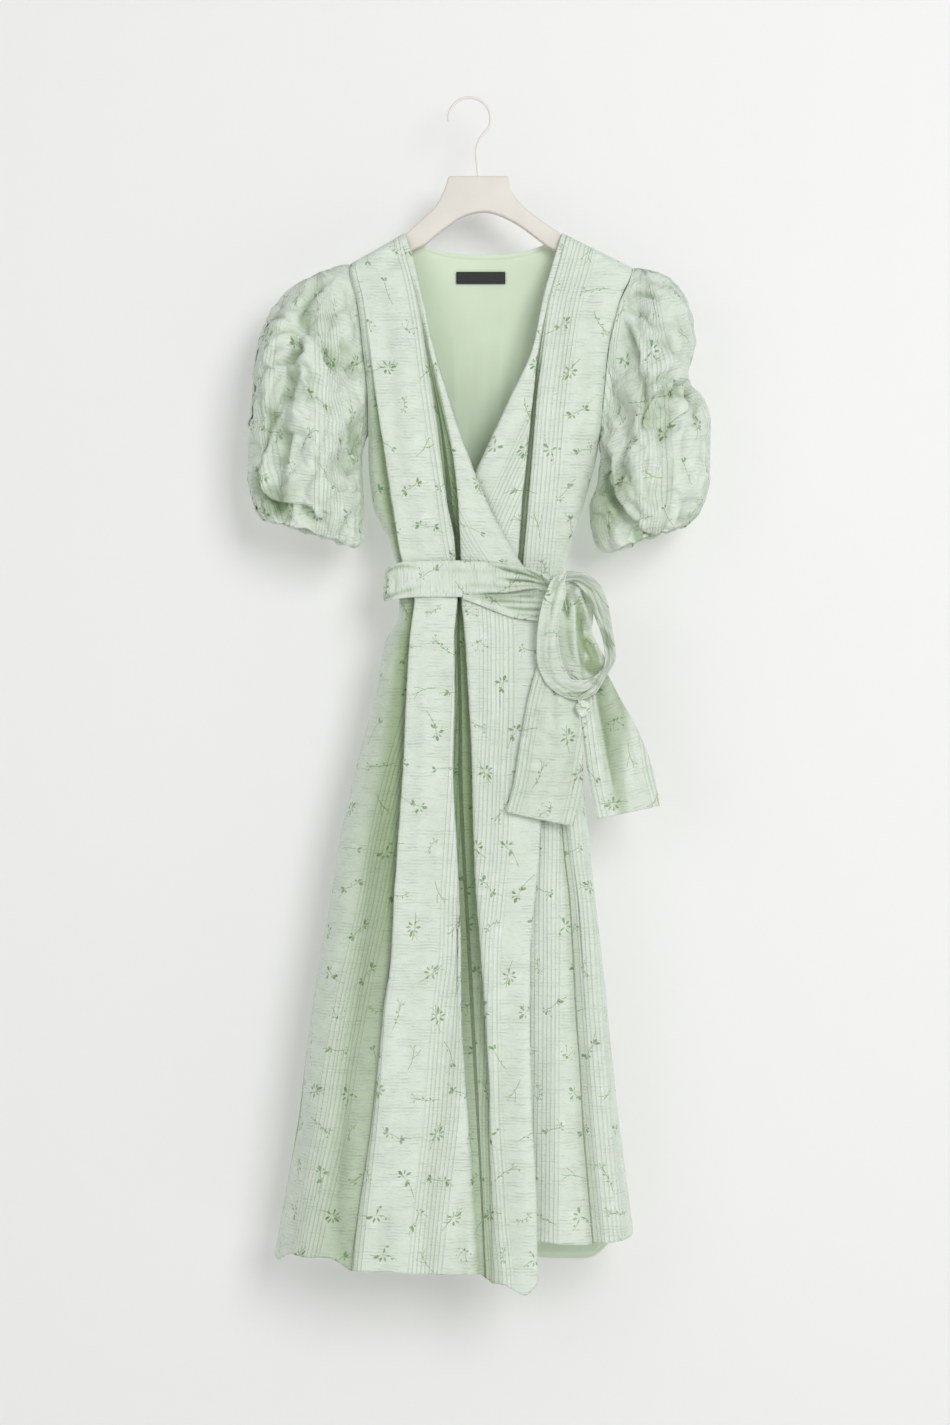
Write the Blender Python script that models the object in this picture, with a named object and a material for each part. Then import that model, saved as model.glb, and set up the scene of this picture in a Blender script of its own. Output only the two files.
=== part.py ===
"""A wrap dress with gathered puff sleeves and a tied sash, hanging on a plain hanger.

Millimetres are used in the tables and turned into metres when a mesh is made. The origin is the
underside of the hanger hook's top, where a rail or a peg carries it. +Z is up, the dress faces -Y,
and +X is the wearer's left. A drop is a distance down from the high point of the shoulder.
"""

import math

import bmesh
import bpy
from mathutils import Vector

MM = 0.001

# Driving dimensions, in millimetres
SHOULDER_Z = -153.0  # high point of the shoulder, below the hook's seat
WAIST_DROP = 395.0  # shoulder to the seam under the sash
CLOTH = 1.6  # shell and lining together
LINING = 1.0
SASH_CLOTH = 1.6
SEAM_GAP = 0.3  # between two pieces that are sewn together
UNDERARM = {"right": 230.0, "left": 238.0}
SHOULDER_TIP = {"right": (-134.0, 36.0), "left": (187.5, 40.0)}  # x and drop
NECK_POINT = {"right": -72.0, "left": 107.0}  # x of the shoulder seam's end at the neck
ARMHOLE_FRONT, ARMHOLE_BACK = 22.0, 14.0  # how far the armhole opens towards -Y and +Y
NECK_DIP = 22.0  # depth of the back neck
HANGER_THICK = 11.0
HANGER_REACH = 143.0  # half the hanger's width
HANGER_X = 12.5  # the hanger's middle
ARM_GAP = 1.5  # from the hanger's arms up to the cloth that lies on them
ARM_DEEP = 20.0
HOOK_WIRE = 3.2
HOOK_RADIUS = 24.0  # of the wire's centre line

# The overlapping front. Its cloth lies in two flat bands, f0 to f1 and g1 to the free edge, with a
# deep fold between them, and the side lies back behind f0. set and recess are the depths of those
# folds, and tuck how far the cloth turns back under a band's edge (a slope where it is negative).
OVER_FRONT = """
drop   side   f0     f1    g1    edge  front set  recess tuck0 tuck1
0      -134   -127.5 -80   -76   -72   -14   0    0      -1    -1.5
37     -134   -127   -70.5 -66.5 -60.5 -19   0.1  0.2    -1    -1.5
80.5   -125   -117.5 -59.5 -55   -50.5 -30   0.4  1      -1.5  -1.5
138    -118   -109   -49   -43   -38   -38   2    4.5    -2    -2
194.5  -113   -102   -40   -29   -21   -42   6    8      -1    -3
250.5  -113   -94    -32   -17   -2    -42   10   10     1     -1
307    -108   -85.5  -24.5 -11   21    -38   12   12     3     3
352    -88.5  -79    -16   -9    44    -34   12   13     4     5
395.5  -77.5  -68.5  -13.5 -7.5  72    -30   11   12     3     5
418    -77.5  -60    -12   -7    84    -32   12   13     4     5
440    -79.5  -62.5  -14   -5    86    -36   13   14     4     5
463    -92.5  -65    -15.5 -3    87    -40   14   15     5     6
530.5  -106.5 -69    -15   1     87    -46   15   16     5     6
611    -128   -72.5  -17   4.5   83.5  -52   15   17     5     6
697    -146.5 -78    -13   7     79.5  -57.5 15   17     4     5
752.5  -154.5 -81.5  -10   10    74.5  -60   14   17     3     5
808    -165 -83    -8    14.5  69.5  -62.5 13   17     2     4
876    -176 -91    -7    21    68.5  -66   11.5 16     -1    2
938    -184.5 -96    -4    24    69.5  -68.5 10   15     -4    0
994    -191 -100.5 -1    26    71    -70.5 9    13     -6    -2
1083.5 -206 -111.5 2     31.5  76    -73   7    11     -9    -6
1169.5 -220.5 -120   4     36.5  77    -76   5    9      -12   -9
"""

# The front that lies underneath. hidden is how far it lies back where the other front covers it,
# as far as clear; g2 to f2 is its own fold.
UNDER_FRONT = """
drop   edge  g2    f2    side  front hidden clear recess tuck
0      107   111   115   187.5 -12   0      90    0      -1
37     96    100.5 105   187.5 -17   0      80    0      -1
80     84.5  89    93.5  171.5 -28   0      60    0.6    -1
137.5  72    78.5  84.5  157.5 -34   0      40    3.5    0
193.5  46    72    77.5  152   -36   0      20    7.5    2
249.5  20    66.5  73    146   -34   0      10    9      3
306    -6    60.5  68.5  132   -29   5      22    9      3.5
351    -24   57.5  64.5  116.5 -25   8      20    8.5    3.5
395    -42.5 54.5  61.5  106.5 -21   9      20    7      3
417.5  -44.5 56.5  63.5  106.5 -23   10     22    6      1
439.5  -45.5 64.5  72.5  109.5 -26.5 11     23    4      -1
463    -46   73.5  82.5  114.5 -30   12     24    3      -2.5
530    -47   88    97    120.5 -36   13     28    2.5    -3
611    -48   96    107   129   -42   13     31    2.5    -3
698    -49   101.5 114.5 138   -47.5 13     34    2.5    -3.5
753.5  -50   107.5 121.5 144   -50   13     36    2.5    -4
809    -50.5 110.5 125.5 150   -52   12.5   39    3      -4
877.5  -51.5 113.5 129.5 157.5 -54.5 12     43    3      -4.5
939.5  -52.5 117.5 134   163.5 -57   11     47    3.5    -5
996    -53.5 120   138   169.5   -58.5 10     50    3.5    -5
1086   -54.5 126   146   180.5 -61   9      55    4      -6
1172.5 -55.5 133   154.5 190   -63   8      60    4      -6
"""

BACK = """
drop   behind
0      14
33.5   17
75     22
132    26
189    28
245.5  28
303.5  26
349.5  24
394    21.5
416.5  22.5
462    27
530    31
612.5  35
700.5  38
814.5  42
948.5  45
1098.5 48
1188   50
"""

# Soft folds of the back skirt: where across the back, how deep at the hem and how wide
BACK_FOLDS = """
share depth width start
0.13  6     0.06  430
0.27  9     0.07  410
0.43  7     0.07  440
0.58  9     0.08  410
0.73  8     0.07  425
0.87  6     0.06  440
"""

# Hem drops at each named line of a panel
OVER_HEM = {"side": 1161.0, "part": 1150.0, "f0": 1162.0, "f1": 1167.0, "g1": 1176.0, "edge": 1176.0}
UNDER_HEM = {"edge": 1128.0, "g2": 1136.0, "f2": 1134.0, "side": 1130.0}
BACK_HEM = {"right": 1161.0, "middle": 1178.0, "left": 1136.0}

# The columns of each front, from one named line to the next. share is the place between the two
# lines, tuck a multiple of the fold's tuck, and level how deep it lies: 0 on the band, 1 on the
# fold's floor.
OVER_COLUMNS = """
near far   share  tuck  fold  level hem
side f0    0      0     side  0    0
side f0    0.06   0     side  0.36 0
side f0    0.18   0     side  0.66 0
side f0    0.38   0     side  0.88 0
side f0    0.66   0     side  0.98 0
f0   f0    0      1     set   0.97 0
f0   f0    0      0.7   set   0.5  0
f0   f0    0      0     set   0.2  0
f0   f1    0.03   0     set   0.03 0
f0   f1    0.2    0     set   0    0
f0   f1    0.5    0     bow   1    0
f0   f1    0.8    0     pit   0    0
f0   f1    0.97   0     pit   0.03 0
f1   f1    0      0     pit   0.2  0
f1   f1    0     -0.7   pit   0.5  0
f1   f1    0     -1     pit   0.93 0
f1   g1    0.5    0     pit   1    0
g1   g1    0      1     pit   0.93 0
g1   g1    0      0.7   pit   0.5  0
g1   g1    0      0     pit   0.2  0
g1   edge  0.04   0     pit   0.03 0
g1   edge  0.33   0     pit   0    6
g1   edge  0.68   0     pit   0    12
g1   edge  1      0     free  1    0
"""

UNDER_COLUMNS = """
near far   share  tuck  fold  level hem
edge g2    0      0     free  1    0
edge g2    0.2    0     pit   0    0
edge g2    0.4    0     pit   0    0
edge g2    0.6    0     pit   0    0
edge g2    0.8    0     pit   0    0
edge g2    0.97   0     pit   0.05 0
g2   g2    0      0     pit   0.25 0
g2   g2    0     -1     pit   0.92 0
g2   f2    0.5    0     pit   1    0
f2   f2    0      1     pit   0.92 0
f2   f2    0      0     pit   0.25 0
f2   side  0.03   0     pit   0.05 0
f2   side  0.3    0     pit   0    0
f2   side  0.6    0     side  0.95 0
f2   side  0.84   0     side  0.72 0
f2   side  0.96   0     side  0.36 0
f2   side  1      0     side  0    0
"""

# The puff sleeves, as rings from the armhole to the hem and in again to the elastic. Each ring has
# an outer and an inner point and how far it bulges to the front and the back.
SLEEVE_RIGHT = """
along outer_x outer_drop inner_x inner_drop front back
0.06  -141.5  36.5       -116    237        28    16
0.20  -177    50.5       -120.5  252        46    22
0.36  -224    88         -121.5  268        58    28
0.52  -244.5  152        -120.5  284        64    32
0.68  -248.5  224.5      -119.5  303        64    34
0.82  -249.5  278        -118.5  326        58    33
0.92  -241.5  310.5      -119.5  346        48    30
1.00  -226    326        -128.5  356        40    26
1.06  -210    317.5      -142.5  344        33    22
1.14  -201    301.5      -150    324        30    20
"""

SLEEVE_LEFT = """
along outer_x outer_drop inner_x inner_drop front back
0.06  195     40.5       152     246        28    16
0.20  222     48.5       151     259        46    22
0.34  247     77         149     272        57    28
0.45  256.5   122.5      147     286        62    31
0.54  251.5   166        143.5   297        60    32
0.60  266     188        141     303        62    33
0.68  275     215.5      139     310        64    34
0.82  274.5   276        139.5   327        58    33
0.92  262.5   314.5      145     348        48    30
1.00  239     334        157     362        40    26
1.06  226     326        171     351        33    22
1.14  219     310.5      179     331        30    20
"""

# Creases of the sleeves: from one place to another, as degrees round (0 outer, 90 front, 180 inner)
# and shares along, with their depth and half width in degrees
CREASES_RIGHT = """
from_round from_along to_round to_along depth width
64         0.46       56       0.92     17    12
50         0.14       62       0.40     11    11
112        0.08       102      0.34     9     11
150        0.40       128      0.66     9     13
22         0.30       10       0.62     8     13
88         0.62       96       0.98     8     11
300        0.30       290      0.80     9     18
240        0.10       250      0.50     6     14
"""

CREASES_LEFT = """
from_round from_along to_round to_along depth width
2          0.52       42       0.60     9     12
66         0.48       88       0.82     14    12
116        0.06       128      0.60     12    12
156        0.50       110      0.98     13    12
40         0.10       60       0.34     8     12
250        0.30       240      0.80     9     18
300        0.10       290      0.50     6     14
"""

# The sash: a band's centre in plan, with its upper and lower edges as drops
SASH_FRONT = """
x     y     upper lower
-94.5 -4    387   418.5
-91.5 -22   382   418.5
-84.5 -31   378.5 418
-70   -34.5 375   416
-50   -35   374.5 415
-13   -35   374   415
20    -35.5 376   415.5
45    -36.5 379.5 415
65    -38   382   412.5
82    -41   387.5 410.5
91.5  -45   392.5 407
"""

SASH_LOWER = """
x  y     upper lower
-6 -36.9 413   417
13 -37.1 413   424
35 -37.9 412.5 433
49 -38.5 412   438
66 -39.9 411   441
80 -42.5 410   442
88 -45   409   441.5
"""

SASH_BACK = """
x     y     upper lower
-94.5 -3.5  387   418.5
-93   14    379   414.5
-86   22.5  375.5 412
-70   26    374   412
-20.5 26.5  374   412
51    26.5  374   412
92    25.5  374   412
106.5 21.5  374.5 412
114   11    375   412.5
116   -3    376   413.5
115.5 -20   378   413
113   -32   385   411
109   -37.5 391   407
"""

# Ribbons of the bow, from the knot outwards, by their two long edges
LOOP = """
left_x left_drop left_y right_x right_drop right_y
88.5   410.2     -53    101     410.3      -53
81.5   430.5     -56    105.5   432.5      -60
78     458       -58    107.5   459.5      -64
78.5   484       -58    110     480.5      -66
85.5   508.5     -58    115.5   497.5      -66
101.5  526       -58    123     506        -65
121.5  530.5     -58    133     508.5      -64
140    521.5     -57    142     503        -62
153.5  502.5     -55    148.5   492.5      -60
164    477       -54    152     477        -58
159.5  449       -54    148     460.5      -58
154.5  419       -54    135.5   434        -59
144    398       -53    124.5   417        -58
124    391.5     -51    111.8   402        -50.5
"""

LOOP_INSIDE = """
left_x left_drop left_y right_x right_drop right_y
102.5  421       -51.4  115     416.5      -50.4
102.5  443.5     -54    136     441        -52
103.5  469       -55    145     463.5      -52
108    494       -56    144     486        -53
117    506       -57    136     502.5      -55.5
"""

TAIL_FRONT = """
left_x left_drop left_y right_x right_drop right_y
95.5   411.1     -48.5  107.5   411.1      -48.5
91.5   437.5     -48.5  112.5   437.5      -48.5
85.5   463.5     -49    117.5   463.5      -49
76.5   494.5     -50    121.5   499.5      -49.5
67.5   527.5     -52    123.5   541.5      -51.5
58.5   576       -57    128     584        -56.5
50.5   624.5     -60.5  128     628.5      -60
42     655.5     -63    116     671        -62
"""

TAIL_REAR = """
left_x left_drop left_y right_x right_drop right_y
102.5  408.5     -44    114     408        -44
112    437.5     -44    126     435.5      -44
118    469.5     -45.5  138     465.5      -44.5
128.5  513.5     -47.5  155.5   501.5      -46
133.5  543.5     -48.5  169.5   527.5      -47
132    565       -49    190     565        -48
136    608       -48.5  206.5   608        -46
146.5  664       -47    214.5   649        -44
"""

# The hanger's outline where the cloth leaves it bare, and its hook's stem
HANGER_RIM = """
x    z
46   -88.5
49.5 -105
58.5 -118
74.5 -132.5
91   -144
-55  -140
-36.5 -122
-28.5 -107
-22  -88.5
"""

HANGER_ARCH = """
x    z
91   -169
59   -145
47   -138
35   -132.5
21   -129
8    -130
-3   -133
-12  -137.5
-24  -146
-37  -156
-48  -165.5
"""

HOOK_STEM = """
x    z
11.5 -88.2
10.5 -76
9.3  -64
10   -54.5
13   -46.5
17.5 -39.5
"""

KNOT = {"centre": (101.0, 399.0, -50.0), "half": (10.0, 12.0, 9.0)}  # x, drop, y
LOOP_END = {"centre": (128.0, 539.9, -58.5), "half": (8.5, 9.8, 4.6)}
LABEL = {"from_x": -13.5, "to_x": 42.5, "upper": 41.0, "lower": 54.5}

MINT = (0.60, 0.78, 0.62)
PLAIN_GREEN = (0.55, 0.72, 0.50)
LINING_FROM = {"bodice": 0.15, "skirt": 0.03}  # shares across the back
LINING_TO = {"bodice": 0.8, "skirt": 0.97}
CREAM = (0.80, 0.76, 0.69)
BLACK = (0.02, 0.02, 0.02)


def rows_of(text):
    """A table's rows as dictionaries, a name for each column."""
    lines = text.strip().splitlines()
    names = lines[0].split()
    found = []
    for line in lines[1:]:
        values = [v if v.isidentifier() else float(v) for v in line.split()]
        found.append(dict(zip(names, values)))
    return found


def smooth_read(rows, key, name, at):
    """The column called name where the column called key is at, on a curve that never overshoots."""
    spots = [row[key] for row in rows]
    values = [row[name] for row in rows]
    if at <= spots[0]:
        return values[0]
    if at >= spots[-1]:
        return values[-1]
    i = max(k for k in range(len(spots) - 1) if spots[k] <= at)
    slopes = [
        (values[k + 1] - values[k]) / (spots[k + 1] - spots[k]) for k in range(len(spots) - 1)
    ]

    def tangent(k):
        if k == 0:
            return slopes[0]
        if k == len(slopes):
            return slopes[-1]
        before, after = slopes[k - 1], slopes[k]
        return 0.0 if before * after <= 0 else 2 * before * after / (before + after)

    width = spots[i + 1] - spots[i]
    t = (at - spots[i]) / width
    low, high = values[i], values[i + 1]
    cubic = t * t * (3 - 2 * t)
    return (
        low
        + (high - low) * cubic
        + width * tangent(i) * t * (1 - t) ** 2
        - width * tangent(i + 1) * t * t * (1 - t)
    )


def smoothstep(value):
    value = min(1.0, max(0.0, value))
    return value * value * (3 - 2 * value)


def mix(a, b, share):
    return a + (b - a) * share


OVER_ROWS = rows_of(OVER_FRONT)
UNDER_ROWS = rows_of(UNDER_FRONT)
BACK_ROWS = rows_of(BACK)
BACK_FOLD_ROWS = rows_of(BACK_FOLDS)
OVER_COLUMN_ROWS = rows_of(OVER_COLUMNS)
UNDER_COLUMN_ROWS = rows_of(UNDER_COLUMNS)


def body_side_x(side, drop):
    rows = OVER_ROWS if side == "right" else UNDER_ROWS
    return smooth_read(rows, "drop", "side", drop)


def clear_of_seam(side, drop):
    """Half the gap between front and back at a seam, wider where the armhole begins."""
    away = abs(drop - SHOULDER_TIP[side][1]) / 9
    return SEAM_GAP / 2 + 0.05 + 0.9 * (1 - smoothstep(away))


def armhole_reach(side, drop):
    """How open the armhole is at this drop, from 0 at its two ends to 1 at its widest."""
    top = SHOULDER_TIP[side][1]
    share = (drop - top) / (UNDERARM[side] - top)
    if not 0 < share < 1:
        return 0.0
    return math.sqrt(1 - (1 - 2 * share) ** 2)


def shoulder_drop(x):
    """The drop of the shoulder seam at x, on either side of the neck."""
    side = "right" if x < HANGER_X else "left"
    tip_x, tip_drop = SHOULDER_TIP[side]
    share = (x - NECK_POINT[side]) / (tip_x - NECK_POINT[side])
    return tip_drop * min(1.0, max(0.0, share))


def shoulder_round(drop_below):
    """How much of its depth the cloth has reached, this far below a shoulder seam."""
    reach = min(1.0, max(0.0, drop_below / 13.0))
    return math.sqrt(1 - (1 - reach) ** 2)


def front_point(rows, hem, column, down, skirt, side):
    """A point of a front panel, down from 0 to 1 along one of its columns."""

    def line_drop(name):
        waist = WAIST_DROP + (SEAM_GAP / 2 if skirt else -SEAM_GAP / 2)
        if skirt:
            return mix(waist, hem[name], down)
        return mix(shoulder_drop(smooth_read(rows, "drop", name, 0.0)), waist, down)

    near, far = column["near"], column["far"]
    drop = mix(line_drop(near), line_drop(far), column["share"])
    if skirt and "part" in hem and near == "side" and column["share"] > 0.1:
        drop = mix(WAIST_DROP + SEAM_GAP / 2, hem["part"], down)
    if skirt:
        drop += column["hem"] * smoothstep((down - 0.84) / 0.16)
    read = {name: smooth_read(rows, "drop", name, drop) for name in rows[0]}
    tuck = read["tuck0"] if "tuck0" in read and near == "f0" else read.get("tuck1", read.get("tuck"))
    x = mix(read[near], read[far], column["share"]) + column["tuck"] * tuck
    band = read["front"]
    if "hidden" in read:
        band += read["hidden"] * smoothstep((read["clear"] + 12 - x) / 24)
    level = column["level"]
    if column["fold"] == "side":
        seam = -max(clear_of_seam(side, drop), ARMHOLE_FRONT * armhole_reach(side, drop))
        y = mix(seam, band + read.get("set", 0.0), level)
    elif column["fold"] == "set":
        y = band + read["set"] * level
    elif column["fold"] == "bow":
        y = band - 1.2
    elif column["fold"] == "free":
        y = band + (4.0 if "set" in read and not skirt else 1.5)
    else:
        y = band + read["recess"] * level
    if not skirt:
        y *= shoulder_round(drop - shoulder_drop(x) + 0.15)
        y = min(y, -clear_of_seam(side, drop) if column["near"] == "side" else -SEAM_GAP / 2 - 0.05)
    return (x, y, SHOULDER_Z - drop)


def neck_share(x):
    """0 at either end of the neck opening and 1 across its middle."""
    middle = (NECK_POINT["right"] + NECK_POINT["left"]) / 2
    half = (NECK_POINT["left"] - NECK_POINT["right"]) / 2
    return max(0.0, 1 - abs((x - middle) / half) ** 2.6)


def back_top(x):
    if NECK_POINT["right"] < x < NECK_POINT["left"]:
        return NECK_DIP * neck_share(x)
    return shoulder_drop(x)


def back_hem(share):
    """The back's hem drop, which rises quickly to the left side seam."""
    low = mix(BACK_HEM["right"], BACK_HEM["middle"], smoothstep(share / 0.2))
    return mix(low, BACK_HEM["left"], smoothstep((share - 0.87) / 0.13))


def back_point(across, down, skirt):
    """A point of the back, across from 0 at the right side seam to 1 at the left one."""
    waist = WAIST_DROP + (SEAM_GAP / 2 if skirt else -SEAM_GAP / 2)
    top_x = mix(SHOULDER_TIP["right"][0], SHOULDER_TIP["left"][0], across)
    start = back_top(top_x)
    drop = mix(waist, back_hem(across), down) if skirt else mix(start, waist, down)
    right, left = body_side_x("right", drop), body_side_x("left", drop)
    x = mix(right, left, across)
    side = "right" if across < 0.5 else "left"
    behind = smooth_read(BACK_ROWS, "drop", "behind", drop)
    for fold in BACK_FOLD_ROWS:
        grown = smoothstep((drop - fold["start"]) / 500)
        away = (across - fold["share"]) / fold["width"]
        behind += fold["depth"] * grown * math.exp(-away * away)
    seam = max(clear_of_seam(side, drop), ARMHOLE_BACK * armhole_reach(side, drop))
    edge = min(1.0, min(across, 1 - across) / 0.16)
    y = mix(seam, behind, math.sqrt(1 - (1 - edge) ** 2))
    if not skirt:
        rounded = shoulder_round(drop - start + 0.15)
        y *= mix(rounded, 1.0, smoothstep(neck_share(top_x) * 50)) if down < 0.3 else 1.0
        y = max(y, clear_of_seam(side, drop) if edge < 0.2 else SEAM_GAP / 2 + 0.05)
    return (x, y, SHOULDER_Z - drop)


def moved_in(across, down, skirt, by):
    """The back's own point, moved inwards by a distance along its normal."""
    step = 0.004
    here = Vector(back_point(across, down, skirt))
    along = Vector(back_point(across + step, down, skirt)) - here
    below = Vector(back_point(across, down + (step if down < 0.5 else -step), skirt)) - here
    inward = along.cross(below).normalized()
    return here + by * (inward if inward.y < 0 else -inward)


def lining_point(across, down, skirt):
    """The back lining: the back's own points, moved in, a little short of its edges."""
    if skirt:
        down = min(down, 0.995)
    else:
        x = mix(SHOULDER_TIP["right"][0], SHOULDER_TIP["left"][0], across)
        down = mix(mix(0.05, 0.012, smoothstep(neck_share(x) * 3)), 1.0, down)
    return moved_in(across, down, skirt, CLOTH / 2 + LINING / 2 + 0.6)


def label_point(across, down):
    x = mix(LABEL["from_x"], LABEL["to_x"], across)
    drop = mix(LABEL["upper"], LABEL["lower"], down)
    width = SHOULDER_TIP["left"][0] - SHOULDER_TIP["right"][0]
    share = (x - SHOULDER_TIP["right"][0]) / width
    start = back_top(x)
    lining = moved_in(share, (drop - start) / (WAIST_DROP - start), False, CLOTH / 2 + LINING + 1.3)
    return (x, lining.y, SHOULDER_Z - drop)


def sleeve_point(side, rows, creases, around, along):
    """A point of a sleeve: around in degrees, 0 outer, 90 front and 180 inner."""
    angle = math.radians(around)
    sign = -1.0 if side == "right" else 1.0
    ring = max(along, rows[0]["along"])
    read = {name: smooth_read(rows, "along", name, ring) for name in rows[0]}
    share = (1 - math.cos(angle)) / 2
    bulge = read["front"] if math.sin(angle) > 0 else read["back"]
    x = mix(read["outer_x"], read["inner_x"], share)
    drop = mix(read["outer_drop"], read["inner_drop"], share)
    y = -bulge * math.sin(angle)
    # pushes in along the ring's own radius
    out = Vector((x - mix(read["outer_x"], read["inner_x"], 0.5), y, 0.0))
    out = out.normalized() if out.length > 1 else Vector((0, 0, 0))
    push = 0.0
    for row in creases:
        place = mix_place(row, along)
        away = (around - place[0] + 180) % 360 - 180
        push -= row["depth"] * place[1] * math.exp(-((away / row["width"]) ** 2))
    gathers = 2.2 * math.exp(-(((along - 0.05) / 0.14) ** 2)) * math.cos(math.radians(9 * around))
    hem = 2.6 * math.exp(-(((along - 1.02) / 0.12) ** 2)) * math.cos(math.radians(11 * around + 40))
    push += gathers * smoothstep(along / 0.05) + hem
    x += out.x * push
    y += out.y * push
    # grows out of the armhole
    arm_drop = mix(SHOULDER_TIP[side][1], UNDERARM[side], share)
    arm_depth = ARMHOLE_FRONT if math.sin(angle) > 0 else ARMHOLE_BACK
    arm_x = body_side_x(side, arm_drop) + sign * (CLOTH / 2 + SEAM_GAP + 0.8)
    arm_y = -arm_depth * math.sin(angle)
    joined = smoothstep(along / 0.14)
    return (
        mix(arm_x, x, joined),
        mix(arm_y, y, joined),
        SHOULDER_Z - mix(arm_drop, drop, joined),
    )


def mix_place(row, along):
    """Where a crease is at this share along the sleeve, and how much of it is there."""
    low, high = row["from_along"], row["to_along"]
    share = (along - low) / (high - low)
    fade = smoothstep(1 + share * 4) * smoothstep(1 + (1 - share) * 4)
    if share < -0.25 or share > 1.25:
        fade = 0.0
    return mix(row["from_round"], row["to_round"], min(1.0, max(0.0, share))), fade


def band_point(rows, across, along):
    """A sash band: along it from 0 to 1, across it from its upper edge to its lower one."""
    spot = along * (len(rows) - 1)
    numbered = [dict(row, number=k) for k, row in enumerate(rows)]
    read = {name: smooth_read(numbered, "number", name, spot) for name in rows[0]}
    return (read["x"], read["y"], SHOULDER_Z - mix(read["upper"], read["lower"], across))


def ribbon_point(rows, cup, across, along):
    """A ribbon between its two long edges, cupped towards the front by cup."""
    spot = along * (len(rows) - 1)
    numbered = [dict(row, number=k) for k, row in enumerate(rows)]
    read = {name: smooth_read(numbered, "number", name, spot) for name in rows[0]}
    bulge = cup * math.sin(math.pi * across) * smoothstep(along * 4)
    return (
        mix(read["left_x"], read["right_x"], across),
        mix(read["left_y"], read["right_y"], across) - bulge,
        SHOULDER_Z - mix(read["left_drop"], read["right_drop"], across),
    )


def material(name, colour, roughness=0.85, metallic=0.0):
    made = bpy.data.materials.new(name)
    made.use_nodes = True
    shader = made.node_tree.nodes["Principled BSDF"]
    shader.inputs["Base Color"].default_value = (*colour, 1.0)
    shader.inputs["Roughness"].default_value = roughness
    shader.inputs["Metallic"].default_value = metallic
    return made


def new_object(name, mesh, finish):
    mesh.materials.append(finish)
    made = bpy.data.objects.new(name, mesh)
    bpy.context.scene.collection.objects.link(made)
    return made


def cloth(name, columns, rows, place, finish, thickness=CLOTH, tube=False):
    """A wall of cloth: a grid laid on place(across, down), each from 0 to 1, and made thick."""
    bm = bmesh.new()
    bmesh.ops.create_grid(bm, x_segments=columns, y_segments=rows, size=1.0)
    for vert in bm.verts:
        across, down = (vert.co.x + 1) / 2, (1 - vert.co.y) / 2
        vert.co = Vector(place(across, down)) * MM
    if tube:
        bmesh.ops.remove_doubles(bm, verts=bm.verts, dist=1e-6)
    mesh = bpy.data.meshes.new(name)
    bm.to_mesh(mesh)
    bm.free()
    mesh.shade_smooth()
    made = new_object(name, mesh, finish)
    wall = made.modifiers.new("Wall", "SOLIDIFY")
    wall.thickness = thickness * MM
    wall.offset = 0.0
    return made


def by_rows(spacing):
    """Turns an even share into one that follows the listed places, so that rows can crowd."""

    def place(share):
        spot = share * (len(spacing) - 1)
        low = min(int(spot), len(spacing) - 2)
        return mix(spacing[low], spacing[low + 1], spot - low)

    return place


BODICE_ROWS = by_rows([0, 0.003, 0.012, 0.03, 0.07, 0.15, 0.25, 0.35, 0.46, 0.58, 0.7, 0.85, 1])
SKIRT_ROWS = by_rows(
    [0, 0.03, 0.06, 0.095, 0.15, 0.22, 0.30, 0.38, 0.46, 0.54, 0.62, 0.70, 0.78, 0.86, 0.93, 1]
)
BACK_SHARES = [0, 0.005, 0.03, 0.08, 0.15, 0.1928, 0.1945, 0.24, 0.3, 0.37, 0.43, 0.5, 0.58]
BACK_SHARES += [0.64, 0.7, 0.7479, 0.7496, 0.8, 0.87, 0.93, 0.97, 0.995, 1]
BACK_COLUMNS = by_rows(BACK_SHARES)


def front_panel(name, rows, hem, columns, skirt, side, finish):
    spacing = SKIRT_ROWS if skirt else BODICE_ROWS
    steps = 15 if skirt else 12
    last = len(columns) - 1

    def place(across, down):
        column = columns[round(across * last)]
        return front_point(rows, hem, column, spacing(down), skirt, side)

    return cloth(name, last, steps, place, finish)


def make_body(finish, plain):
    for part, skirt in (("bodice", False), ("skirt", True)):
        front_panel(
            f"{part}_front_over", OVER_ROWS, OVER_HEM, OVER_COLUMN_ROWS, skirt, "right", finish
        )
        front_panel(
            f"{part}_front_under", UNDER_ROWS, UNDER_HEM, UNDER_COLUMN_ROWS, skirt, "left", finish
        )
        spacing, steps = (SKIRT_ROWS, 15) if skirt else (BODICE_ROWS, 12)
        cloth(
            f"{part}_back",
            len(BACK_SHARES) - 1,
            steps,
            lambda across, down, skirt=skirt, spacing=spacing: back_point(
                BACK_COLUMNS(across), spacing(down), skirt
            ),
            finish,
        )
        shares = [share for share in BACK_SHARES if LINING_FROM[part] <= share <= LINING_TO[part]]
        cloth(
            f"{part}_back_lining",
            len(shares) - 1,
            steps,
            lambda across, down, skirt=skirt, spacing=spacing, columns=by_rows(shares): lining_point(
                columns(across), spacing(down), skirt
            ),
            plain,
            thickness=LINING,
        )


def make_sleeves(finish):
    for side, rings, creases in (
        ("right", rows_of(SLEEVE_RIGHT), rows_of(CREASES_RIGHT)),
        ("left", rows_of(SLEEVE_LEFT), rows_of(CREASES_LEFT)),
    ):
        end = rings[-1]["along"]

        def place(across, down, side=side, rings=rings, creases=creases, end=end):
            return sleeve_point(side, rings, creases, 360 * across, end * down)

        cloth(f"sleeve_{side}", 30, 13, place, finish, tube=True)


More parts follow.
